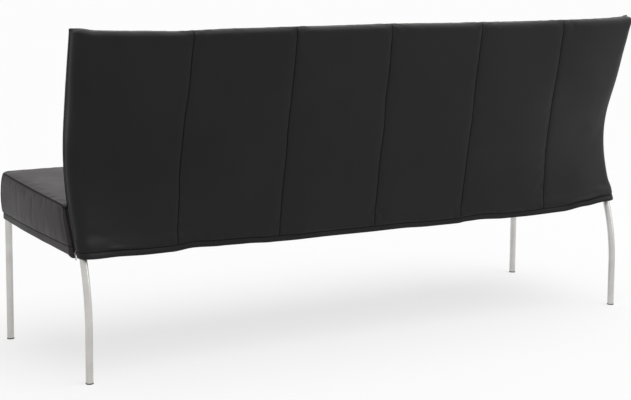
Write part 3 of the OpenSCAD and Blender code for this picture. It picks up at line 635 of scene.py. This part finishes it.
# Outer and inner surface of a seat border: its inset, its upper edge, and its share of the seam's rise
OUTER, INNER = (0.0, SEAM_Z - MITRE, 1.0), (BORDER_T, PAD_Z - GAP, 0.0)
SIDES = ((1, "left"), (-1, "right"))
pads = []
for k in range(3):
    for side in (1, -1):
        n = 3 - k if side > 0 else 4 + k
        rear, front = partial(rear_surface, k, side), partial(front_surface, k, side)
        seeds = array([100 + side * k, 100 + side * (k + 1), 300 + n, 310 + n])
        pads.append(Pad(
            f"rear_leather_{n}", f"rear_panel_{n}", rear,
            partial(inset_inner, rear, PANEL_T - 0.0006, BACKWARD), partial(rear_crown, k, side),
            PITCH + (0.02 if k == 2 else 0.0), sum(REAR_LONG), BACKWARD, "back_leather", seeds,
            0.35, 0.00028, 0.9))
        pads.append(Pad(
            f"front_leather_{n}", f"front_panel_{n}", front, partial(inset_inner, front, PANEL_T, FORWARD),
            front_crown, PITCH, SOFA_H - FRONT_LOW_Z, FORWARD, "back_leather", seeds + 20, 0.8, 0.0005, 0.8))
        pads.append(Pad(
            f"seat_leather_{n}", f"seat_panel_{n}", partial(seat_plan, k, side, MITRE * 0.8, SEAM_Z, 1.0),
            partial(seat_plan, k, side, BORDER_T + GAP, PAD_Z, 0.0),
            lambda u, v: SEAT_CROWN * puff(u) * puff(v), PITCH, FRAME_REAR + 0.02, (0, 0, 1), "seat_leather",
            seeds + 40, 0.16, 0.0004, 0.8))
for side, name in SIDES:
    pads.append(Pad(
        f"seat_side_{name}", f"seat_border_{name}", partial(side_border, side, *OUTER),
        partial(side_border, side, *INNER), side_crown, FRAME_REAR, SEAM_Z - BAND_FRONT_H, (side, 0, 0),
        "seat_leather", range(360, 364), 0.07, 0.0003, 0.9))
pads.append(Pad(
    "seat_front", "seat_border_front", partial(front_border, *OUTER), partial(front_border, *INNER),
    lambda u, v: SIDE_FULL * puff(v) * ones_like(u), 2 * SEAT_HALF, SEAM_Z - BAND_FRONT_H, FORWARD,
    "seat_leather", range(364, 368), 0.07, 0.0003, 0.9))


def puff_up(pads):
    """The cloth run: all panels at once, pinned along their seams, cut a little too long and blown out by a
    light pressure, so that they fill and pucker. How far a point may move is held by a soft cap."""
    points, quads, pins, firsts = [], [], [], [0]
    for pad in pads:
        p, n = (grid.reshape(-1, 3) for grid in pad.coarse())
        q = grid_quads(pad.rows, pad.cols)
        a, b, d = (p[q[:, i]] for i in (0, 1, 3))
        if (cross(b - a, d - a) * n[q[:, 0]]).sum() < 0:
            q = q[:, ::-1]
        i = firsts[-1] + arange(len(p)).reshape(pad.rows, pad.cols)
        pins.append(join([i[0], i[-1], i[:, 0], i[:, -1]]))
        points.append(p)
        quads.append(firsts[-1] + q)
        firsts.append(firsts[-1] + len(p))
    start = join(points)
    mesh = bpy.data.meshes.new("cloth_run")
    mesh.from_pydata(start.tolist(), [], join(quads).tolist())
    run = put("cloth_run", mesh)
    run.vertex_groups.new(name="seams").add(np.unique(join(pins)).tolist(), 1.0, "REPLACE")
    cloth = run.modifiers.new("puff", "CLOTH")
    adjust(cloth.settings, vertex_group_mass="seams", quality=5, mass=0.3, tension_stiffness=20,
           compression_stiffness=20, shear_stiffness=8, bending_stiffness=1.5, shrink_min=-0.012,
           use_pressure=True, uniform_pressure_force=4)
    cloth.settings.effector_weights.gravity = 0
    adjust(cloth.point_cache, frame_start=1, frame_end=20)
    for step in range(1, 21):
        bpy.context.scene.frame_set(step)
    seen = run.evaluated_get(bpy.context.evaluated_depsgraph_get()).data
    end = np.empty(start.size)
    seen.vertices.foreach_get("co", end)
    moved = end.reshape(-1, 3) - start
    bpy.data.objects.remove(run)
    bpy.context.scene.frame_set(1)
    for pad, first in zip(pads, firsts):
        d = moved[first:first + pad.rows * pad.cols].reshape(pad.rows, pad.cols, 3)
        long = norm(d, axis=-1, keepdims=True)
        cap = 0.005 * pad.slack
        pad.moved = d * cap * np.tanh(long / cap) / maximum(long, 1e-9)


puff_up(pads)
for pad in pads:
    pad.finish()


def carried(name, path, profile, shares, slot):
    """A closed band: a profile of outer and inner points carried along a path, and capped at both ends.
    path(s, inset, height) gives the places, profile(s) the outer insets and heights and the inner ones."""
    s = shares[:, None]
    outer, inner = profile(s)
    p = path(s, *(join([a, b[:, ::-1]], 1) for a, b in zip(outer, inner)))
    rows, m = p.shape[:2]
    i = arange(rows * m).reshape(rows, m)
    j = arange(m // 2 - 1)
    caps = [stack([row[j], row[j + 1], row[m - 2 - j], row[m - 1 - j]], 1) for row in (i[0][::-1], i[-1])]
    piece = make_mesh(name, p, join([tube_quads(i)] + caps), slot)
    # Painted shade: the outer face darkens over the top 4 mm of the profile, in the crease where the band
    # meets the panel above it, and the inner faces take the darkest seam colour throughout.
    low = outer[1].max(1, keepdims=True) - outer[1]
    near = join([unit(1 - low / 0.004), np.ones(inner[1].shape)], 1)
    mark_seam_shade(piece, np.broadcast_to(near, p.shape[:2]))
    return piece


def plan_round(along, t, inset):
    """Plan of the rear cover at places from -3 at the right side seam to 3 at the left, 1 for each panel."""
    along, t, inset = spread(along, t, inset)
    out = np.zeros((2,) + t.shape)
    for side in (1, -1):
        for k in range(3):
            here = (where(along < 0, -1, 1) == side) & (minimum(abs(along).astype(int), 2) == k)
            x, y = plan_point(abs(along[here]) - k, t[here], inset[here], k, side, SIDE_END_IN)
            out[:, here] = side * x, y
    return out


# Band along the lower edge of the rear cover, from one side seam round the back to the other
end_shares = 2 + join([linspace(0, 0.74, 34), linspace(0.76, 0.95, 16), linspace(0.96, 1, 4)])
round_shares = join([-end_shares[::-1], linspace(-2, 2, 181)[1:-1], end_shares])


def hem_place(s, inset, height):
    """Path of the hem: round the rear cover's plan, at the height over its lower edge."""
    x, y = plan_round(s, level(HEM_H + height), inset)
    return stack([x, y, hem_z(x) + height], -1)


def hem_profile(s, thick=0.0036, roll=0.0022, lap=0.006):
    """Profile of the hem: a round lower fold, a wavy face, a rolled upper edge, and behind it a lap."""
    ones = ones_like(s)
    a = linspace(0, pi / 2, 5)
    f = linspace(0, 1, 9)[1:-1]
    r, back = thick / 2, thick + 0.0012
    wave = 0.0006 * ripple(join([0.325 * (s + 3), 0 * s], 1), 21, 0.045)[:, None]
    face = -0.0006 * sin(pi * f) + wave * sin(pi * f) ** 0.5
    rolled = join([roll * (1 - cos(a)), [thick + 0.0003] * 2])
    outer = join([(r - r * sin(a)) * ones, face, rolled * ones], 1)
    rise = [r - r * cos(a), r + f * (HEM_BAND_H - roll - r), HEM_BAND_H - roll + roll * sin(a),
            [HEM_BAND_H, HEM_BAND_H + lap]]
    inner = join([r + (back - r) * sin(a), np.full(14, back)])
    return (outer, join(rise) * ones), (inner * ones, join(rise) * ones)


hem = carried("hem_leather", hem_place, hem_profile, round_shares, "back_leather")
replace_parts(hem, "rear_hem")


# Lower bands of the seat: leather that hangs below the timber and is turned under to it
def turned_under(high, reach, thick=0.002, roll=0.0016, under=0.0075, skin=0.0005):
    """Profile of a band turned in under the timber: a return of reach, a fold and a face, and its inside."""
    ones = ones_like(high)
    a = linspace(0, pi / 2, 4)
    f = linspace(0, 1, 7)[1:-1]
    arm = array([1.0, 0.66, 0.33, 0.0])
    r, lip = thick / 2, under - 0.0004
    inset = join([thick - 0 * a, r + r * cos(a), r - r * sin(a), -0.0003 * sin(pi * f),
                  roll * (1 - cos(a))])
    low = join([under * np.ones(4), lip - a / a[-1] * (lip - r), r - r * sin(a), r - r * cos(a)])
    outer_in = join([thick + arm * (reach - thick), inset * ones], 1)
    outer_h = join([low * ones, r + f * (high - roll - r), high - roll + roll * sin(a)], 1)
    rest = linspace(0, 1, outer_in.shape[1] - 4)
    inner_in = join([thick + 0.0004 + arm * (reach - thick - 0.0004), (thick + 0.0003) * ones + 0 * rest], 1)
    inner_h = join([(under + skin) * ones + 0 * arm, under + skin + rest * (high - under - skin)], 1)
    return (outer_in, outer_h), (inner_in, inner_h)


def band_wave(s, seed, long):
    """Slow unevenness of a band's lower edge."""
    return 0.0007 * ripple(join([s * long, 0 * s], 1), seed, 0.09)[:, None]


rear_plate_y, side_long = FRAME_REAR - PLATE_REAR_IN, side_rear(0.0) - CORNER_R
side_edges = array([PLATE_FRONT_Y, PLATE_FRONT_Y + PLATE_EDGE, rear_plate_y, rear_plate_y + PLATE_EDGE])
side_edges = (side_edges - CORNER_R) / side_long
side_shares = np.sort(join([linspace(0, 0.9, 90), linspace(0.905, 1, 26), side_edges]))
for side, name in SIDES:
    def side_place(s, inset, height, side=side):
        """Path of a side band: along the seat's side from the corner to the back's seam."""
        y = CORNER_R + GAP / 2 + s * (side_rear(height) - CORNER_R)
        drop = band_wave(s, 31 + side, 0.5) - 0.0080 * unit((s - 0.95) / 0.05) ** 2
        z = height + (1 - unit(height / 0.016)) * drop
        return from_seat(side * (side_x(y, height) - inset), y, z)

    def side_profile(s):
        """Profile of a side band: its return reaches further in, between the legs' plates."""
        y = CORNER_R + s * side_long
        front_plate, rear_plate = (unit((y - at) / PLATE_EDGE) for at in (PLATE_FRONT_Y, rear_plate_y))
        reach = BAND_REACH + (SIDE_RETURN - BAND_REACH) * front_plate
        narrow = minimum(maximum(side_x(y, 0.0) - REAR_PLATE_X, BAND_REACH), reach)
        return turned_under(band_h(y), reach * (1 - rear_plate) + narrow * rear_plate)

    carried(f"band_leather_{name}", side_place, side_profile, side_shares, "seat_leather")
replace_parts(bpy.data.objects["band_leather_left"], "side_bands")


def front_place(s, inset, height):
    """Path of the front band: the seat's front with its two corners."""
    x, y = front_edge(s, inset)
    return from_seat(x, y, height + (1 - unit(height / 0.012)) * band_wave(s, 37, 1.9))


def front_profile(s):
    """Profile of the front band: its return reaches further in between the front legs' plates."""
    plate = unit((PLATE_X - abs(front_edge(s, 0.0)[0])) / PLATE_EDGE)
    return turned_under(BAND_FRONT_H * ones_like(s), BAND_REACH + (FRONT_RETURN - BAND_REACH) * plate)


arc_share = FRONT_ARC / FRONT_PATH
plate_edges = array([-PLATE_X, PLATE_EDGE - PLATE_X, PLATE_X - PLATE_EDGE, PLATE_X])
front_shares = np.sort(join([linspace(0, arc_share, 10), linspace(arc_share, 1 - arc_share, 230)[1:-1],
                             linspace(1 - arc_share, 1, 10), 0.5 + plate_edges / FRONT_PATH]))
band = carried("band_leather_front", front_place, front_profile, front_shares, "seat_leather")
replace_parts(band, "front_band")


# Black cloth under the seat, slack between its rows of staples and cut round the leg plates
COVER_Y0, COVER_Y1 = FRAME_FRONT_IN + CLOTH_IN, FRAME_REAR - CLOTH_IN


def cover_sag(x, y):
    """How far the cloth hangs below its edge: a wide belly, and a small one between each two staples."""
    near = minimum(y - COVER_Y0, COVER_Y1 - y)
    wide = 0.0030 * sin(pi * unit((y - COVER_Y0) / (COVER_Y1 - COVER_Y0))) * (1 - (x / FRAME_HALF) ** 6)
    between = (1 - cos(2 * pi * x / STAPLE_STEP)) / 2
    edge = 0.0006 * between * bell((near - 0.0085) / 0.01) * (near < 0.03)
    uneven = 1 + ripple(stack(spread(x, y), -1), 51, 0.07)
    return wide + edge + 0.0004 * ease(near / 0.03) * uneven


def cover_at(u, v, z):
    """The cover: from side to side and from front to rear, narrower beside the leg plates."""
    y = COVER_Y0 + v * (COVER_Y1 - COVER_Y0)
    x = u * (PLATE_X + (FRAME_HALF - CLOTH_IN - PLATE_X) * np.interp(y, NOTCH_Y, (0, 0, 1, 1, 0, 0)))
    return from_seat(x, y, z - cover_sag(x, y))


depth = COVER_Y1 - COVER_Y0
NOTCH_Y = array([COVER_Y0, 0.0747, 0.0753, FRAME_REAR - 0.0507, FRAME_REAR - 0.0501, COVER_Y1])
steps_v = np.unique(join([linspace(0, 1, 61), (NOTCH_Y[1:-1] - COVER_Y0) / depth]))[:, None]
steps_u = linspace(-1, 1, 229)[None, :]
cover = shell("cloth_under_seat", *(cover_at(steps_u, steps_v, z) for z in CLOTH_Z), "lining")
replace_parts(cover, "dust_cover")


def flap_at(along, v, z):
    """The flap behind the rail: from the cover's edge to just inside the rear cover, and up into the hem."""
    x, y = plan_round(along, level(floor_z(FRAME_REAR, RAIL_Z)), PANEL_T + 2 * TUCK_GAP)
    y = seat_run(y, RAIL_Z)
    x0, y0 = clip(x, -PLATE_X, PLATE_X), FRAME_REAR - 0.0037
    climb = maximum(hem_z(x) + 0.005 - floor_z(y, z), 0.0)
    return from_seat(x0 + v * (x - x0), y0 + v * (maximum(y, y0 + 0.0003) - y0),
                     z + climb * v**1.5 - 0.0012 * sin(pi * v))


flap_v = linspace(0, 1, 9)[:, None]
flap = shell("cloth_behind_rail", *(flap_at(round_shares[None, :], flap_v, z) for z in CLOTH_Z), "lining")
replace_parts(flap, "bottom_flap")


# Coil zips in the side seams
def zip_coil(side, name):
    """Coil of a zip: a thin tube along the side seam whose radius swells and narrows with each tooth."""
    n, m = 3 * 290 + 1, 10
    f = linspace(0, 1, n)
    t = level(FACE_LOW + f * (SOFA_H - TOP_R - FACE_LOW))
    low = FACE_LOW + HEM_RISE + GAP
    y = end_y(t) - SLAB_T + PANEL_T + 2 * TUCK_GAP + ZIP_D / 2
    path = stack([side * (back_half(t) - ZIP_D / 2), y, low + f * (SOFA_H + EAR_RISE - TOP_R - low)], -1)
    ahead = np.gradient(path, axis=0)
    ahead /= norm(ahead, axis=1)[:, None]
    a = cross(ahead, [1.0, 0.0, 0.0])
    a /= norm(a, axis=1)[:, None]
    b = cross(ahead, a)
    angle = linspace(0, 2 * pi, m, endpoint=False)[None, :, None]
    r = ZIP_D / 2 * np.resize([1.0, 0.92, 0.72], n)[:, None, None]
    ring = path[:, None] + r * (cos(angle) * a[:, None] + sin(angle) * b[:, None])
    i = arange(n * m).reshape(n, m)
    j = arange(1, m - 2, 2)
    fan = stack([0 * j, j, j + 1, j + 2], 1)
    quads = join([tube_quads(i), fan, i[-1][fan[:, ::-1]]])
    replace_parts(make_mesh(f"zip_coil_{name}", ring, quads, "zip_coil", 80), f"zip_{name}")


def zip_tape(side, name):
    """Tape of a zip: a strip behind the coil, from under the front cover to under the rear cover."""
    z = linspace(ZIP_LOW_Z, SOFA_H - 0.002, 90)[:, None]
    first = -0.0038 + 0.0066 * unit((z - FRONT_LOW_Z - 0.003) / 0.004)
    y_in = first + linspace(0, 1, 9)[None, :] * (TAPE_W - first)
    x = back_half(level(z)) - 0.0031 - 0.0008 * ease((y_in - 0.006) / 0.004)
    y = end_y(level(z)) - SLAB_T + y_in
    outer, inner = (stack(spread(side * (x - skin), y, z), -1) for skin in (0.0, 0.0005))
    slots[shell(f"zip_tape_{name}", outer, inner, "zip_coil")] = "zip_tape"


for side, name in SIDES:
    zip_coil(side, name)
    zip_tape(side, name)


def round_edges(piece, width):
    """Joins a piece's split corners and rounds its edges by width."""
    piece.modifiers.new("weld", "WELD").merge_threshold = 0.00005
    adjust(piece.modifiers.new("round", "BEVEL"), width=width, segments=2, limit_method="ANGLE",
           angle_limit=radians(40))


def dressed(node, slot, bevel):
    """A soft part inside the cover: the node's form with its corners rounded."""
    mesh = bpy.data.objects[node].data.copy()
    mesh.name = node + "_soft"
    mesh.materials.clear()
    piece = put_piece(node + "_soft", mesh, slot)
    round_edges(piece, bevel)
    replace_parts(piece, node)


for node in ("seat_foam", "side_foam", "back_foam"):
    dressed(node, "foam", 0.003)
dressed("seat_felt", "lining", 0.0008)
dressed("seat_webbing", "strap", 0.0004)
dressed("back_webbing", "strap", 0.0004)

# Hard parts by the width of their rounded edges
ROUNDED = {0.0015: "front_rail rear_rail side_rails cross_rails corner_blocks",
           0.0005: "leg_plates post_brackets glide_front_left glide_front_right glide_rear_left"
                   " glide_rear_right",
           0.0003: "leg_screws bracket_bolts",
           0.0002: "zip_sliders pull_left pull_right"}
for width, nodes in ROUNDED.items():
    for node in nodes.split():
        round_edges(bpy.data.objects[node], width)


class Wires:
    """Adds nodes to one material or group and links them."""

    def __init__(self, tree):
        self.tree = tree

    def add(self, kind, inputs=None, **settings):
        """A node with its settings, each input a socket to link or a constant."""
        node = self.tree.nodes.new("ShaderNode" + kind)
        adjust(node, **settings)
        for key, value in (inputs or {}).items():
            if isinstance(value, bpy.types.NodeSocket):
                self.tree.links.new(value, node.inputs[key])
            else:
                node.inputs[key].default_value = value
        return node

    def calc(self, operation, *terms):
        """One operation on values."""
        return self.add("Math", dict(enumerate(terms)), operation=operation).outputs[0]

    def turn(self, operation, *terms):
        """One operation on vectors."""
        return self.add("VectorMath", dict(enumerate(terms)), operation=operation).outputs[0]

    def noise(self, at, scale, detail=3.0, rough=0.5):
        """Noise at places."""
        given = {"Vector": at, "Scale": scale, "Detail": detail, "Roughness": rough}
        return self.add("TexNoise", given).outputs[0]

    def sum(self, *terms):
        """Weighted sum of values: pairs of a weight and a socket."""
        total = 0.0
        for weight, value in terms:
            total = self.calc("MULTIPLY_ADD", value, weight, total)
        return total

    def fit(self, *terms):
        """A value mapped from a lower and an upper end to two others, smoothly and held between its ends."""
        return self.add("MapRange", dict(enumerate(terms)), interpolation_type="SMOOTHSTEP").outputs["Result"]

    def blend(self, factor, *colours):
        """Colour between two."""
        a, b = (c if isinstance(c, bpy.types.NodeSocket) else (*c, 1) for c in colours)
        return self.add("Mix", {0: factor, 6: a, 7: b}, data_type="RGBA").outputs[2]

    def use(self, group, scale=(1.0, 1.0, 1.0), **inputs):
        """Outputs of a group at object coordinates stretched by a scale along each axis."""
        inputs["Vector"] = self.turn("MULTIPLY", self.add("TexCoord").outputs["Object"], scale)
        return self.add("Group", inputs, node_tree=group).outputs

    def coat(self, colour, rough, height, depth, strength):
        """Links a colour, a roughness and a height, as a bump, to the shader, and returns the material."""
        normal = self.add("Bump", {"Height": height, "Distance": depth, "Strength": strength}).outputs[0]
        given = self.tree.nodes["Principled BSDF"].inputs
        for label, value in (("Base Color", colour), ("Roughness", rough), ("Normal", normal)):
            self.tree.links.new(value, given[label])
        return self.material


def make_group(name, build, **values):
    """A node group from a place and named values. build(wires, place, ...) gives height, tone and gloss."""
    tree = bpy.data.node_groups.new(name, "ShaderNodeTree")
    tree.interface.new_socket("Vector", in_out="INPUT", socket_type="NodeSocketVector")
    for label, value in values.items():
        tree.interface.new_socket(label, in_out="INPUT", socket_type="NodeSocketFloat").default_value = value
    entry, leave = tree.nodes.new("NodeGroupInput"), tree.nodes.new("NodeGroupOutput")
    given = entry.outputs[:1 + len(values)]
    for label, value in zip(("Height", "Tone", "Gloss"), build(Wires(tree), *given)):
        tree.interface.new_socket(label, in_out="OUTPUT", socket_type="NodeSocketFloat")
        tree.links.new(value, leave.inputs[label])
    return tree


def hide_nodes(w, at, pebble_size, slack):
    """Grain of leather: pebbles parted by creases, fine pores, slack folds, and a slow change in tone."""
    drift = w.add("TexNoise", {"Vector": at, "Scale": 420.0, "Detail": 2.0}).outputs["Color"]
    bent = w.turn("MULTIPLY_ADD", w.turn("SUBTRACT", drift, (0.5, 0.5, 0.5)), (0.0011, 0.0011, 0.0011), at)
    count = w.calc("DIVIDE", 1.0, pebble_size)
    cells = w.add("TexVoronoi", {"Vector": bent, "Scale": count}, feature="DISTANCE_TO_EDGE")
    pebble = w.fit(cells.outputs["Distance"], 0.0, 0.22)
    pores = w.noise(at, 2600.0, 2.0)
    folds = w.noise(bent, 26.0, 3.0, 0.45)
    slow = w.noise(at, 5.0)
    height = w.sum((0.55, pebble), (0.25, pores), (slack, folds))
    tone = w.sum((0.35, pebble), (0.2, pores), (0.45, slow))
    return height, tone, w.sum((0.3, pebble), (0.7, w.fit(slow, 0.35, 0.65)))


def steel_nodes(w, at):
    """Satin steel: fine streaks along the tube over a slow change from handling."""
    streak = w.noise(w.turn("MULTIPLY", at, (2400.0, 2400.0, 14.0)), 1.0, 3.0, 0.6)
    return streak, w.sum((0.7, streak), (0.3, w.noise(at, 18.0)))


def spun_nodes(w, at):
    """Spun cloth: a lattice of small pressed dots over matted threads."""
    across = w.add("VectorRotate", {"Vector": at, "Angle": pi / 4}, rotation_type="Z_AXIS")
    part = w.turn("FRACTION", w.turn("MULTIPLY", across.outputs[0], (1250.0, 1250.0, 0.0)))
    off = w.turn("SUBTRACT", part, (0.5, 0.5, 0.0))
    dot = w.fit(w.add("VectorMath", {0: off}, operation="LENGTH").outputs["Value"], 0.2, 0.34)
    thread = w.noise(w.turn("MULTIPLY", at, (500.0, 1900.0, 800.0)), 1.0, 4.0)
    return w.sum((0.6, dot), (0.4, thread)), w.sum((0.4, dot), (0.6, thread))


def strap_nodes(w, at):
    """Woven strap: warp ridges crossed by weft, as a product of two waves."""
    parts = w.add("SeparateXYZ", {"Vector": at}).outputs
    warp, weft = (w.calc("SINE", w.calc("MULTIPLY", parts[axis], 2600.0)) for axis in "XY")
    crossed = w.calc("MULTIPLY", warp, weft)
    fuzz = w.noise(at, 1500.0, 2.0)
    return w.sum((0.4, crossed), (0.5, fuzz)), w.sum((0.3, crossed), (0.7, fuzz))


def timber_nodes(w, at):
    """Planed softwood: yearly rings as bands that drift, with fine pores along the board."""
    bands = {"Vector": at, "Scale": 1.0, "Distortion": 5.0, "Detail": 2.0, "Detail Scale": 0.7}
    rings = w.add("TexWave", bands, wave_type="RINGS", rings_direction="SPHERICAL").outputs["Fac"]
    pores = w.noise(w.turn("MULTIPLY", at, (9.0, 9.0, 9.0)), 1.0)
    return pores, w.sum((0.5, rings), (0.25, pores), (0.25, w.noise(at, 1.2, 2.0)))


def foam_nodes(w, at):
    """Open foam: cut cells of two sizes."""
    cells = w.add("TexVoronoi", {"Vector": at, "Scale": 1100.0}).outputs["Distance"]
    large = w.noise(at, 300.0)
    return w.sum((0.7, cells), (0.3, large)), w.sum((0.5, cells), (0.5, large))


def skin_nodes(w, at):
    """Moulded skin: fine grain, and places rubbed by hands."""
    return w.noise(at, 1800.0, 2.0), w.noise(at, 60.0, 4.0)


HIDE = make_group("hide grain", hide_nodes, Pebble=0.0011, Slack=0.3)
STEEL = make_group("satin steel", steel_nodes)
SPUN = make_group("spun cloth", spun_nodes)
STRAP = make_group("woven strap", strap_nodes)
TIMBER = make_group("planed timber", timber_nodes)
FOAM = make_group("open foam", foam_nodes)
SKIN = make_group("moulded skin", skin_nodes)


def new_finish(name, **constants):
    """The wires of a new material on the Principled shader, with the shader's constants."""
    material = bpy.data.materials.new(name)
    material.use_nodes = True
    for label, value in constants.items():
        material.node_tree.nodes["Principled BSDF"].inputs[label.replace("_", " ")].default_value = value
    wires = Wires(material.node_tree)
    wires.material = material
    return wires


def leather(name, dark, light, seam_shade, rough_low, rough_high, pebble):
    """Leather: its two tones, the colour of the painted shade in its seam grooves, its range of roughness and
    the size of its grain.
    """
    w = new_finish(name, Specular_IOR_Level=0.14)
    grain = w.use(HIDE, Pebble=pebble)
    # Painted shade: near the seams the colour blends towards the darker seam shade colour; the seams are also
    # rougher.
    seam = w.fit(w.add("Attribute", attribute_name="seam").outputs["Fac"], 0.35, 1.0)
    colour = w.blend(seam, w.blend(w.fit(grain["Tone"], 0.3, 0.75), dark, light), seam_shade)
    rough = w.sum((1.0, w.fit(grain["Gloss"], 0.2, 0.85, rough_high, rough_low)), (0.25, seam))
    return w.coat(colour, rough, grain["Height"], 0.00022, 0.35)


def grained(name, group, dark, light, rough, depth, tones=(0.2, 0.8), strength=0.6, **constants):
    """A material from a group's height and tone, its two colours and the roughness that goes with each."""
    w = new_finish(name, **constants)
    given = w.use(group)
    tone = w.fit(given["Tone"], *tones)
    return w.coat(w.blend(tone, dark, light), w.fit(tone, 0.0, 1.0, *rough), given["Height"], depth, strength)


def steel(name, dark, light, rough):
    """Satin metal."""
    return grained(name, STEEL, dark, light, rough, 0.00004, (0.3, 0.7), 0.25, Metallic=1.0)


def moulded(name, dark, light, rough):
    """Moulded plastic or paint: two close tones with a fine skin and a few rubbed places."""
    return grained(name, SKIN, dark, light, (rough, rough - 0.12), 0.00005, (0.45, 0.75), 0.4)


def timber(name, scale):
    """Softwood whose grain runs along the axis with the smallest scale."""
    w = new_finish(name)
    board = w.use(TIMBER, scale)
    colour = w.blend(w.fit(board["Tone"], 0.25, 0.75), (0.62, 0.42, 0.22), (0.42, 0.25, 0.11))
    return w.coat(colour, w.fit(board["Height"], 0.3, 0.7, 0.55, 0.75), board["Height"], 0.0002, 0.4)


MATT = (0.8, 0.95)
finishes = dict(
    # One black leather in two copies: the seat's copy is lighter as painted light and the back's copy is
    # darker as painted shade. The third colour of each is its painted seam shade.
    back_leather=leather("back leather painted shaded", (0.0085, 0.0083, 0.0085), (0.0135, 0.0131, 0.0133),
                         (0.0055, 0.0054, 0.0055), 0.40, 0.50, 0.0011),
    seat_leather=leather("seat leather painted lit", (0.0225, 0.0183, 0.0195), (0.0325, 0.0272, 0.0287),
                         (0.010, 0.0088, 0.0090), 0.36, 0.46, 0.0012),
    lining=grained("black spun cloth", SPUN, (0.008, 0.008, 0.009), (0.022, 0.022, 0.023), MATT, 0.00015),
    foam=grained("cushion foam", FOAM, (0.62, 0.56, 0.36), (0.80, 0.74, 0.50), MATT, 0.0004),
    strap=grained("elastic strap", STRAP, (0.05, 0.05, 0.05), (0.17, 0.17, 0.17), MATT, 0.0002),
    timber=timber("timber along the sofa", (3.0, 60.0, 60.0)),
    leg_steel=steel("satin leg steel", (0.45, 0.44, 0.425), (0.63, 0.62, 0.60), (0.38, 0.26)),
    inner_steel=moulded("black painted steel", (0.02, 0.02, 0.021), (0.06, 0.06, 0.06), 0.5),
    glide_plastic=moulded("glide plastic", (0.045, 0.045, 0.046), (0.075, 0.074, 0.072), 0.6),
    zip_coil=moulded("zip coil", (0.010, 0.010, 0.011), (0.022, 0.022, 0.023), 0.45),
    zip_tape=grained("zip tape", STRAP, (0.006, 0.006, 0.0065), (0.018, 0.018, 0.019), MATT, 0.0001),
    zip_metal=steel("zip metal", (0.24, 0.23, 0.21), (0.42, 0.41, 0.38), (0.42, 0.25)),
)
across = timber("timber across the sofa", (60.0, 3.0, 60.0))
wire = steel("staple wire", (0.36, 0.35, 0.34), (0.56, 0.55, 0.54), (0.42, 0.30))
own_finish = {"side_rails": across, "cross_rails": across, "staples": wire}

for part in frame["record"]["subparts"]:
    for place in bpy.data.objects[part["node"]].material_slots:
        place.material = own_finish.get(part["node"], finishes[part["material_slot"]])
for piece, name in slots.items():
    piece.data.materials.append(finishes[name])


# Studio: a pale floor that keeps the sofa's shadow, white surroundings, soft lamps
def seen_rays(w):
    """1 for rays that show the surroundings: from the camera, mirrored or through glass."""
    rays = w.add("LightPath").outputs
    some = w.calc("MAXIMUM", rays["Is Camera Ray"], rays["Is Glossy Ray"])
    return w.calc("MAXIMUM", some, rays["Is Transmission Ray"])


floor_mesh = bpy.data.meshes.new("floor")
corners = (-40, -40), (40, -40), (40, 40), (-40, 40)
floor_mesh.from_pydata([(x, y, -0.0004) for x, y in corners], [], [(0, 1, 2, 3)])
put("floor", floor_mesh)
wires = new_finish("studio floor", Base_Color=(0.86, 0.86, 0.86, 1), Roughness=0.9, Specular_IOR_Level=0.1)
nodes = wires.tree.nodes
share = wires.calc("MULTIPLY", seen_rays(wires), 0.72)
glow = wires.add("Emission", {"Strength": 1.0}).outputs[0]
upper = wires.add("MixShader", {0: share, 1: nodes["Principled BSDF"].outputs[0], 2: glow}).outputs[0]
below = wires.add("NewGeometry").outputs["Backfacing"]
both = wires.add("MixShader", {0: below, 1: upper, 2: wires.add("BsdfTransparent").outputs[0]})
wires.tree.links.new(both.outputs[0], nodes["Material Output"].inputs[0])
floor_mesh.materials.append(wires.material)

# Camera of the photograph: its place, heading, fall, tilt and focal length in pixels
PHOTO_W, PHOTO_H = 631, 400
EYE = (2.33913, 3.7323, 1.13058)
YAW, FALL, TILT = radians(29.915), radians(7.019), radians(0.25)
FOCAL_PX, CENTRE_PX = 1475.94, (279.35, 129.99)
SENSOR = 36.0

turn = mathutils.Matrix.Rotation
view = turn(pi - YAW, 3, "Z") @ turn(pi / 2 - FALL, 3, "X") @ turn(TILT, 3, "Z")
camera = put("camera", bpy.data.cameras.new("camera"))
adjust(camera, location=EYE, rotation_euler=view.to_euler())
adjust(camera.data, sensor_width=SENSOR, lens=FOCAL_PX * SENSOR / PHOTO_W,
       shift_x=(PHOTO_W / 2 - CENTRE_PX[0]) / PHOTO_W, shift_y=(CENTRE_PX[1] - PHOTO_H / 2) / PHOTO_W)
bpy.context.scene.camera = camera

sun = bpy.data.lights.new("soft overhead", "SUN")
adjust(sun, energy=2.2, angle=radians(70))
put("soft overhead", sun).rotation_euler = (radians(-12), radians(-14), 0)
lamp = bpy.data.lights.new("right", "AREA")
adjust(lamp, shape="RECTANGLE", size=1.6, size_y=2.0, energy=15)
aim = mathutils.Vector((2.5, -2.2, -1.0))
adjust(put("right", lamp), location=(-3.0, 2.2, 1.6), rotation_euler=aim.to_track_quat("-Z", "Y").to_euler())
world = bpy.data.worlds.new("studio")
bpy.context.scene.world = world
world.use_nodes = True
wires = Wires(world.node_tree)
background = world.node_tree.nodes["Background"]
background.inputs["Color"].default_value = (1, 1, 1, 1)
world.node_tree.links.new(wires.fit(seen_rays(wires), 0.0, 1.0, 0.40, 1.0), background.inputs["Strength"])
bpy.context.scene.view_settings.view_transform = "Standard"
